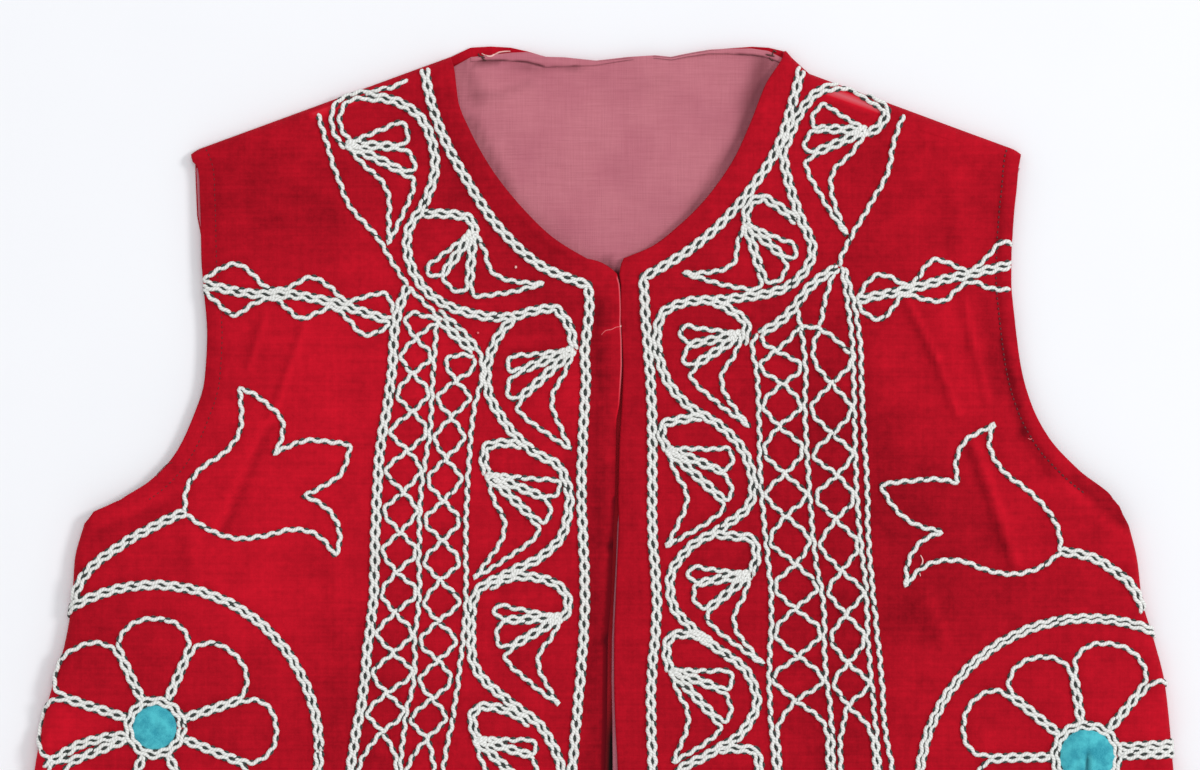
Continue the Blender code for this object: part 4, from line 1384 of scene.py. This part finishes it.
def flat_wall(name, replaced, grid, top, thickness, look, step, round_in, relief=None, shade=None):
    """A flat piece of cloth from a grid of plane points, with a relief and a shade of its own."""
    grid = finer(grid, step)
    height, width, _ = grid.shape
    x, y = grid.reshape(-1, 2).T
    z = np.full(len(x), top)
    if relief:
        z = z + relief(x, y)
    starts = [r * width + c for r in range(height - 1) for c in range(width - 1)]
    quads = [(low, low + 1, low + width + 1, low + width) for low in starts]
    nap = shade(x, y) if shade else None
    points = np.stack([x, y, z], axis=1)
    return closed_wall(name, points, quads, thickness, look, replaced, round_in, nap)


# The lining shows in the neck above this height, and so far to both sides of its middle; its
# rumples fade in from there, round a mean height.
NECK_BOTTOM = 165.0
NECK_BOTTOM_FADE = 20.0
NECK_MIDDLE = 4.0
NECK_HALF_WIDTH = 95.0
NECK_SIDE_FADE = 15.0
RUMPLE_MEAN = 0.75
# The painted shade in the slit between the fronts: its middle and how fast it fades to the sides, its top,
# and where its painted dark red goes over into painted black.
SLIT_X = 3.0
SLIT_FADE = 8.0
SLIT_TOP = 152.0
SLIT_TOP_FADE = 9.0
SLIT_BLACK_FROM = -34.0
SLIT_BLACK_FADE = 26.0


def lining_relief(x, y):
    """Soft rumples of the lining where it shows in the neck, nothing under the fronts."""
    from_side = NECK_HALF_WIDTH - np.abs(x - NECK_MIDDLE)
    shows = clamp((y - NECK_BOTTOM) / NECK_BOTTOM_FADE) * clamp(from_side / NECK_SIDE_FADE)
    rumple = 0.42 * np.sin(x / 13.0 + 0.8 * np.sin(y / 12.0)) + 0.34 * np.sin(y / 8.0 + x / 19.0 + 1.0)
    rumple += 0.16 * np.sin((x + y) / 4.6 + np.sin(x / 9.0))
    return shows * (rumple + RUMPLE_MEAN + soft_lines(LINING_FOLDS, x, y))


def lining_shade(x, y):
    """Painted shade in the slit between the fronts, dark red above and black below, and along the neck's
    edges.
    """
    across = clamp(1.4 - np.abs(x - SLIT_X) / SLIT_FADE)
    black = clamp((SLIT_BLACK_FROM - y) / SLIT_BLACK_FADE)
    slit = across * clamp((SLIT_TOP - y) / SLIT_TOP_FADE) * (2.0 + black)
    return slit + soft_lines(LINING_SHADES, x, y)


def facing_shade(x, y):
    """The facings get a little painted shade, as from the slit."""
    return np.full(len(x), FACING_SHADE)


# A facing keeps this far behind the velvet's edge, but the left one comes out past it: a little from the
# first height down, and more from the second. Both get a little painted shade.
FACING_SHADE = 0.12
FACING_HIDDEN = 0.8
FACING_SHOWN, FACING_GROWTH, FACING_SHOWS_FROM, FACING_SHOWS_FADE = 0.1, 0.35, 42.0, 90.0
FACING_BARED, FACING_BARED_FROM, FACING_BARED_FADE = 1.2, -52.0, 25.0


def facing_rows(front):
    grid = []
    for section in front.sections[:NECK_CORNER_ROW]:
        y, out = section.edge_y, -FACING_HIDDEN
        if front is LEFT and y <= FACING_SHOWS_FROM:
            out = FACING_SHOWN + FACING_GROWTH * min((FACING_SHOWS_FROM - y) / FACING_SHOWS_FADE, 1.0)
            out += FACING_BARED * clamp((FACING_BARED_FROM - y) / FACING_BARED_FADE)
        ends = sorted((section.edge_x - front.side * out, section.edge_x + front.side * FACING_WIDTH))
        grid.append([(x, y) for x in ends])
    return np.array(grid)


def neck_hem_edge(share):
    """The neck hem's upper edge at no share of its depth, and its lower edge at the whole."""
    return [(point.x, point.y - point.lining_inset - STRIP_INSET - point.hem * share) for point in BACK_NECK]


# The painted shade under the neck hem is darkest towards negative X from the first place on, and towards
# positive X from the second; each has a width to fade in over.
HEM_SHADE = 0.8
HEM_DARK_RIGHT, HEM_RIGHT_FADE = -4.0, 14.0
HEM_DARK_LEFT, HEM_LEFT_FADE = 50.0, 8.0


def hem_shade(x, y):
    """Painted shade along the lower edge of the neck hem, patchy, and strongest near both ends."""
    low = np.interp(x, *zip(*neck_hem_edge(1.0)))
    ends = clamp((HEM_DARK_RIGHT - x) / HEM_RIGHT_FADE, 0.15, 1.0)
    ends = ends + clamp((x - HEM_DARK_LEFT) / HEM_LEFT_FADE, 0.0, 0.8)
    patchy = 0.62 + 0.38 * np.sin(x / 3.1 + 1.4 * np.sin(x / 2.3))
    return HEM_SHADE * ends * patchy * clamp(1.3 - (y - low) / 0.9)


class LaidPieces:
    """Finished pieces that lie flat, as something to lay threads on."""

    def __init__(self, pieces):
        self.trees = []
        for piece in pieces:
            points = [vertex.co / MM for vertex in piece.data.vertices]
            faces = [tuple(polygon.vertices) for polygon in piece.data.polygons]
            self.trees.append(BVHTree.FromPolygons(points, faces))

    def drape(self, line):
        places = []
        for x, y in line[:, :2]:
            hits = [drop(tree, x, y)[0] for tree in self.trees]
            places.append((x, y, max(hit.z for hit in hits if hit)))
        return np.array(places), np.tile((0.0, 0.0, 1.0), (len(line), 1)), np.arange(len(line))


# ---- flower centres ----

# Middle and radius, how far the dome stands over the velvet, how deep its middle is sunk, and
# whether a crease runs down from there.
Centre = namedtuple("Centre", "x y radius dome sunk creased")
CENTRES = {
    "right": Centre(-203.9, -54.9, 10.0, 2.1, 0.4, False),
    "left": Centre(215.4, -68.0, 12.4, 3.4, 1.7, True),
}
# The felt's edge stands this high, and nothing of it is lower than the least. It turns down
# over the last tenth of its radius, and three low swells run round it.
DOME_EDGE = 0.9
DOME_LEAST = 0.35
DOME_ROUNDNESS = 2.6
DOME_TURN, DOME_TURN_FROM, DOME_TURN_SHARE = 0.5, 0.9, 0.1
DOME_SWELL = 0.10
# The right dome has a shallow dip. The left one has a deep crease that runs down from just above its middle,
# with painted shade inside, and a small dent beside it.
DIP_DEPTH, DIP_SPREAD = 0.4, 12.0
CREASE_DEPTH, CREASE_WIDTH, CREASE_TOP, CREASE_FADE = 2.4, 1.3, 1.0, 1.2
DENT_DEPTH, DENT_WIDTH, DENT_X = 0.35, 1.2, 4.5
PUCKER_WIDTH, PUCKER_FADE = 0.75, 0.9
DOME_SPOKES = 56
DOME_RINGS = 16


def dome_height(spec, angle, share):
    """The felt's height over the velvet at a place, and how much painted shade its pucker has there."""
    dx, dy = spec.radius * share * cos(angle), spec.radius * share * sin(angle)
    height = DOME_EDGE + (spec.dome - DOME_EDGE) * (1.0 - share ** DOME_ROUNDNESS)
    height -= DOME_TURN * max(0.0, share - DOME_TURN_FROM) / DOME_TURN_SHARE
    height += DOME_SWELL * sin(3 * angle + 1.0) * share * (1.0 - share) * 4
    if not spec.creased:
        away = (dx * 0.8 + dy * 0.4) ** 2 + (dy - 1.0) ** 2 * 0.3
        return max(height - DIP_DEPTH * np.exp(-away / DIP_SPREAD), DOME_LEAST), 0.0

    def below_top(fade):
        return 1.0 / (1.0 + np.exp((dy - CREASE_TOP) / fade))

    inside = 1 - share ** 4
    height -= CREASE_DEPTH * bell(dx, CREASE_WIDTH) * below_top(CREASE_FADE) * inside
    height -= DENT_DEPTH * bell(dx - dy * 0.25 + DENT_X, DENT_WIDTH) * (dy < 0) * inside
    return max(height, DOME_LEAST), bell(dx - 0.06 * dy, PUCKER_WIDTH) * below_top(PUCKER_FADE)


def flower_dome(shell, side):
    """A padded disc of felt, its edge turned down to the velvet; the left one is puckered."""
    spec = CENTRES[side]
    vertices, faces, shades = [], [], []

    def add(x, y, height, shade):
        """One vertex on the felt and, straight after it, one below it on the velvet."""
        base = drop(shell.tree, x, y)[0].z + SEAM_GAP
        vertices.extend(((x, y, base + height), (x, y, base)))
        shades.extend((shade, 0.0))
        return len(vertices) - 2

    rings = []
    for ring in range(1, DOME_RINGS + 1):
        share = (ring / DOME_RINGS) ** 0.8
        rings.append([])
        for spoke in range(DOME_SPOKES):
            angle = 2 * pi * spoke / DOME_SPOKES
            reach = spec.radius * share
            height, shade = dome_height(spec, angle, share)
            rings[-1].append(add(spec.x + reach * cos(angle), spec.y + reach * sin(angle), height, shade))
    middle = add(spec.x, spec.y, spec.dome - spec.sunk, 0.7 * spec.creased)
    for spoke in range(DOME_SPOKES):
        after = (spoke + 1) % DOME_SPOKES
        a, b = rings[0][spoke], rings[0][after]
        faces += [(middle, a, b), (middle + 1, b + 1, a + 1)]
        turned = []
        for inside, outside in zip(rings, rings[1:]):
            a, b, c, d = inside[spoke], outside[spoke], outside[after], inside[after]
            faces.append((a, b, c, d))
            turned.append((d + 1, c + 1, b + 1, a + 1))
        a, b = rings[-1][spoke], rings[-1][after]
        faces += turned + [(a, a + 1, b + 1, b)]
    dome = mesh_object(
        "felt_centre_" + side, vertices, faces, "felt", "flower_centre_" + side, sharp=DOME_SHARP, nap=shades)


# ---- materials ----

class Look:
    """A node material in the making."""

    def __init__(self, name):
        self.material = bpy.data.materials.new(name)
        self.material.use_nodes = True
        self.tree = self.material.node_tree

    def feed(self, socket, value):
        """Sets a socket, or links it to another node's output."""
        if hasattr(value, "is_output"):
            self.tree.links.new(value, socket)
        else:
            socket.default_value = value

    def node(self, kind, output, sockets=None, **settings):
        """One output of a new node."""
        node = self.tree.nodes.new("ShaderNode" + kind)
        for name, value in settings.items():
            setattr(node, name, value)
        for name, value in (sockets or {}).items():
            self.feed(node.inputs[name], value)
        return node.outputs[output]

    def place(self, scale=(1.0, 1.0, 1.0)):
        where = self.node("TexCoord", "Object")
        return self.node("Mapping", "Vector", {"Vector": where, "Scale": scale})

    def noise(self, vector, scale, detail=3.0, roughness=0.55):
        sockets = {"Vector": vector, "Scale": scale, "Detail": detail, "Roughness": roughness}
        return self.node("TexNoise", "Fac", sockets)

    def weave(self, scale):
        """Noise drawn out into threads: the scale is large across them and small along them."""
        return self.noise(self.place(scale), 1.0, 2.0, 0.6)

    # The painted tone attribute: brushed pile with painted shade and painted highlight on the velvet, painted
    # shade on the lining and the felt.
    def nap(self):
        return self.node("Attribute", "Fac", attribute_name="nap")

    def math(self, operation, a, b=0.0):
        return self.node("Math", 0, {0: a, 1: b}, operation=operation)

    def sum(self, *parts):
        """Values added up, each with its weight."""
        total = self.math("MULTIPLY", *parts[0])
        for value, weight in parts[1:]:
            total = self.math("ADD", total, self.math("MULTIPLY", value, weight))
        return total

    def mix(self, share, low, high):
        """A colour between two, each a socket or three numbers: sockets 6 and 7, output 2."""
        low, high = ((*value, 1.0) if isinstance(value, tuple) else value for value in (low, high))
        return self.node("Mix", 2, {0: share, 6: low, 7: high}, data_type="RGBA")

    def ramp(self, value, low, high, weight=None):
        """A value stretched from low..high to 0..1, and then weighed."""
        ramped = self.node("MapRange", "Result", {"Value": value, "From Min": low, "From Max": high})
        return ramped if weight is None else self.math("MULTIPLY", ramped, weight)

    def bump(self, height, distance, strength=1.0, **before):
        sockets = {"Height": height, "Distance": distance, "Strength": strength, **before}
        return self.node("Bump", "Normal", sockets)

    def finish(self, colour, normal=None, **constants):
        shader = self.tree.nodes["Principled BSDF"].inputs
        self.feed(shader["Base Color"], colour)
        if normal is not None:
            self.feed(shader["Normal"], normal)
        for name, value in constants.items():
            shader[name.replace("_", " ")].default_value = value
        return self.material


def velvet_look():
    """Clouded red pile, ribbed both ways; its painted tone turns it pale pink where a highlight is painted
    and dark where shade is painted.
    """
    look = Look("red velvet")
    where = look.place()
    nap = look.nap()
    cloud = look.noise(where, 70.0, 4.0, 0.6)
    mottle = look.noise(where, 330.0, 3.0, 0.6)
    pile = look.noise(where, 1100.0, 2.0, 0.7)
    ribs = look.weave((700.0, 24.0, 24.0))
    lines = look.weave((24.0, 700.0, 24.0))
    parts = ((cloud, 0.60), (mottle, 0.40), (ribs, 0.20), (lines, 0.32), (pile, 0.25))
    middle = 0.5 - 0.5 * sum(weight for _, weight in parts)
    # The painted tone (brushed pile, painted shade and highlight) shifts the cloud's tone.
    tone = look.math("ADD", look.sum((nap, 0.20), *parts), middle)
    colour = look.mix(look.ramp(tone, 0.0, 1.0), (0.185, 0.0015, 0.0065), (0.640, 0.0065, 0.0215))
    # Painted highlight: a pale pink sheen on the shoulders and along the centre-front edge.
    colour = look.mix(look.ramp(nap, 2.0, 6.0), colour, (0.62, 0.16, 0.19))
    # Painted shade: near-black red where the cloth rolls down into the slit and along edges.
    colour = look.mix(look.ramp(nap, -1.5, -4.5), colour, (0.075, 0.001, 0.004))
    normal = look.bump(cloud, 0.0009, 0.5, Normal=look.bump(pile, 0.00022, 0.7))
    return look.finish(
        colour, normal, Roughness=0.82, Specular_IOR_Level=0.06,
        Sheen_Weight=0.14, Sheen_Roughness=0.38, Sheen_Tint=(1.0, 0.12, 0.18, 1.0))


def lining_look():
    """Plain-woven rose cotton. Its painted shade goes to dark, then to the dark red painted in the slit, then
    to black.
    """
    look = Look("rose cotton lining")
    cloud = look.noise(look.place(), 40.0, 3.0)
    threads = look.sum((look.weave((1500.0, 60.0, 60.0)), 0.7), (look.weave((60.0, 1500.0, 60.0)), 1.0))
    colour = look.mix(look.ramp(threads, 0.5, 1.2), (0.478, 0.147, 0.184), (0.562, 0.187, 0.231))
    colour = look.mix(look.ramp(cloud, 0.4, 0.7, 0.3), colour, (0.36, 0.075, 0.125))
    shade = look.nap()
    # Painted shade: darker, then painted dark red in the slit, then painted black low in the slit.
    colour = look.mix(look.ramp(shade, 0.0, 1.0, 0.96), colour, (0.060, 0.003, 0.006))
    colour = look.mix(look.ramp(shade, 1.0, 2.0), colour, (0.38, 0.008, 0.016))
    colour = look.mix(look.ramp(shade, 2.0, 3.0), colour, (0.006, 0.001, 0.001))
    normal = look.bump(threads, 0.00035, 0.9)
    return look.finish(colour, normal, Roughness=0.9, Specular_IOR_Level=0.15, Sheen_Weight=0.1)


def felt_look():
    """Turquoise felt, with painted shade in its pucker."""
    look = Look("turquoise felt")
    where = look.place()
    fibre = look.noise(where, 1400.0, 4.0, 0.7)
    cloud = look.noise(where, 160.0, 3.0)
    colour = look.mix(look.ramp(cloud, 0.38, 0.62), (0.022, 0.270, 0.360), (0.075, 0.500, 0.570))
    colour = look.mix(look.ramp(fibre, 0.35, 0.7, 0.35), colour, (0.12, 0.62, 0.70))
    # Painted shade in the pucker.
    colour = look.mix(look.math("MULTIPLY", look.nap(), 0.85), colour, (0.004, 0.080, 0.110))
    return look.finish(
        colour, look.bump(fibre, 0.0003, 0.8), Roughness=0.92, Specular_IOR_Level=0.1,
        Sheen_Weight=0.3, Sheen_Roughness=0.5, Sheen_Tint=(0.6, 0.95, 1.0, 1.0))


PLIES = 2
PLY_SLANT = 4.6


def cord_look(name, dark, light, ply_share):
    """Cotton yarn, with the slanting lines of its plies and loose fibres."""
    look = Look(name)
    uv = look.node("UVMap", "UV", uv_map="cord")
    turn = look.math("MULTIPLY", look.node("SeparateXYZ", "X", {"Vector": uv}), 2 * pi * PLIES)
    slant = look.math("MULTIPLY", look.node("SeparateXYZ", "Y", {"Vector": uv}), PLY_SLANT)
    plies = look.math("SINE", look.math("ADD", turn, slant))
    shade = look.sum((plies, ply_share), (look.noise(look.place(), 2200.0, 3.0, 0.7), 0.8))
    base = look.mix(look.ramp(shade, -0.1, 0.8), dark, light)
    patch = look.noise(look.place(), 130.0, 2.0)
    return look.finish(
        look.mix(look.ramp(patch, 0.45, 0.75, 0.35), base, dark), look.bump(shade, 0.00018, 0.8),
        Roughness=0.85, Specular_IOR_Level=0.2, Sheen_Weight=0.15, Sheen_Roughness=0.5)


def thread_look(name, dark, light):
    look = Look(name)
    grain = look.noise(look.place(), 3000.0, 2.0)
    return look.finish(look.mix(grain, dark, light), look.bump(grain, 0.0001, 0.5), Roughness=0.6)


def paper_look():
    look = Look("white paper")
    grain = look.noise(look.place(), 12.0, 2.0)
    return look.finish(look.mix(grain, (0.89, 0.895, 0.925), (0.92, 0.925, 0.95)), Roughness=0.9)


# Each look's material and the slot in the record that it belongs to.
LOOKS = {
    "velvet": (velvet_look(), "velvet"),
    "lining": (lining_look(), "lining"),
    "felt": (felt_look(), "applique"),
    "thread_red": (thread_look("red sewing thread", (0.070, 0.008, 0.012), (0.200, 0.012, 0.020)), "thread"),
    "thread_dark": (thread_look("dark thread", (0.050, 0.012, 0.010), (0.110, 0.026, 0.020)), "thread"),
    "thread_pale": (thread_look("pale loose thread", (0.78, 0.36, 0.34), (0.95, 0.62, 0.58)), "thread"),
    "thread_pink": (thread_look("pink lint", (0.72, 0.10, 0.12), (0.85, 0.20, 0.22)), "thread"),
    "cord_white": (
        cord_look("white cotton cord", (0.64, 0.64, 0.60), (0.92, 0.92, 0.90), 0.40), "cord_white"),
    "cord_black": (
        cord_look("black cotton cord", (0.014, 0.018, 0.016), (0.080, 0.093, 0.085), 0.3), "cord_black"),
}


# ---- the vest ----

# What a front's cut is longer for its turn at the shoulder.
SHOULDER_TURN = 8.0


def dress_front(side):
    """A front's velvet, and the cords, stitches and threads on it; its flower centre stands alone."""
    front = FRONTS[side]
    plan = plan_side(side)
    seams = seam_lines(front)
    cord_points = np.concatenate([resample(cord.line, CORD_DENT_STEP) for cord in plan])
    drawn = [(cord_points, CORD_DENT, CORD_DENT_WIDTH)]
    drawn += [(resample(seam.line, SEAM_DENT_STEP), seam.depth, seam.width) for seam in seams]
    shell = Shell(front, drawn)
    velvet = closed_wall(
        "velvet_" + front.name, shell.points, shell.quads, shell.thickness, "velvet", front.name,
        round_in=0.55, nap=shell.nap)
    groups = sorted({cord.group for cord in plan})
    cords = {group: {spec.name: Strands(spec.sides) for spec in (WHITE, BLACK)} for group in groups}
    for cord in plan:
        lay_cord(shell, cord, cords[cord.group])
    pieces = [
        strands.make(f"cord_{colour}_{group}_{side}", "cord_" + colour)
        for group in groups for colour, strands in cords[group].items()]
    stitches = Strands(STITCH_SIDES)
    for number, seam in enumerate(seams):
        if seam.thread:
            sew(shell, seam, stitches, number)
    pieces.append(stitches.make(f"topstitching_{side}", "thread_red"))
    pieces += scatter_loose(shell, side)
    flower_dome(shell, side)
    return velvet, pieces


def front_flat(front):
    """Flat width, length and area of a front's cut, with its turn round the side fold."""
    at, fields = fine_fields(front)
    radius = fields["height"] / 2
    fold = np.where(at <= UNDERARM_ROW, radius * pi + front.wrap - radius, 0.0)
    across = np.abs(fields["top_x"] - fields["edge_x"]) + fold
    level = (fields["edge_y"] + fields["side_y"]) / 2
    area = np.sum((across[1:] + across[:-1]) / 2 * np.diff(level))
    length = level.max() - level.min() + SHOULDER_TURN
    return float(across.max()) * MM, float(length) * MM, float(area) * MM * MM


def dress_vest():
    back = flat_wall(
        "velvet_back", "back_panel", back_rows(SEAM_GAP, False), BACK_TOP, VELVET_WALL, "velvet",
        step=7.0, round_in=0.5)
    lining = flat_wall(
        "lining_back", "back_lining", back_rows(LINING_INSET, True), LINING_TOP, LINING_WALL, "lining",
        step=3.9, round_in=0.3, relief=lining_relief, shade=lining_shade)
    strip_rows = np.array([neck_hem_edge(share)[1:] for share in (1.0, 0.0)])
    strip = flat_wall(
        "lining_neck_hem", "back_neck_hem", strip_rows, STRIP_TOP, HEM_STRIP_WALL, "lining",
        step=0.9, round_in=0.4, shade=hem_shade)
    neck_threads = scatter_loose(LaidPieces([back, lining, strip]), "neck")
    for side, front in FRONTS.items():
        flat_wall(
            "lining_" + front.name, "facing_" + side, facing_rows(front), FACING_TOP, LINING_WALL, "lining",
            step=3.0, round_in=0.3, shade=facing_shade)

    for side, front in FRONTS.items():
        velvet, pieces = dress_front(side)
        width, length, area = front_flat(front)


# Lamps: name, size, power in watts, and place in metres. The key stands low to the right.
Lamp = namedtuple("Lamp", "name size power place")
LAMPS = rows(Lamp, ("key", 1.4, 118.0, (4.1, 1.2, 4.2)), ("top", 2.4, 48.0, (0.4, 1.4, 5.4)))
LAMP_AIM = (0.0, 0.08, 0.0)
ROOM_COLOUR = (0.97, 0.985, 1.0, 1.0)
ROOM_LIGHT = 0.69
FLOOR_SIZE = 6.0
FLOOR_LEVEL = -0.0002


def light_room():
    bpy.ops.mesh.primitive_plane_add(size=FLOOR_SIZE, location=(0.0, 0.0, FLOOR_LEVEL))
    floor = bpy.context.object
    floor.name = "paper_floor"
    floor.data.materials.append(paper_look())
    world = bpy.data.worlds.new("soft room")
    bpy.context.scene.world = world
    world.use_nodes = True
    background = world.node_tree.nodes["Background"].inputs
    background["Color"].default_value = ROOM_COLOUR
    background["Strength"].default_value = ROOM_LIGHT
    for spec in LAMPS:
        lamp = bpy.data.lights.new(spec.name, "AREA")
        lamp.size = spec.size
        lamp.energy = spec.power
        holder = add_object(spec.name, lamp)
        holder.location = spec.place
        holder.rotation_euler = (Vector(LAMP_AIM) - Vector(spec.place)).to_track_quat("-Z", "Y").to_euler()


# The camera looks straight down; at the cloth's level its frame is this wide.
CAMERA_HEIGHT = 2800.0
FRAME_WIDTH = 540.0
FRAME_MIDDLE = (-3.6, 99.0)
CLOTH_LEVEL = 8.0
SENSOR_WIDTH = 36.0


def set_camera():
    data = bpy.data.cameras.new("camera")
    data.sensor_width = SENSOR_WIDTH
    data.lens = SENSOR_WIDTH * (CAMERA_HEIGHT - CLOTH_LEVEL) / FRAME_WIDTH
    camera = add_object("camera", data)
    camera.location = (FRAME_MIDDLE[0] * MM, FRAME_MIDDLE[1] * MM, CAMERA_HEIGHT * MM)
    bpy.context.scene.camera = camera


dress_vest()
light_room()
set_camera()
bpy.context.scene.view_settings.view_transform = "Standard"
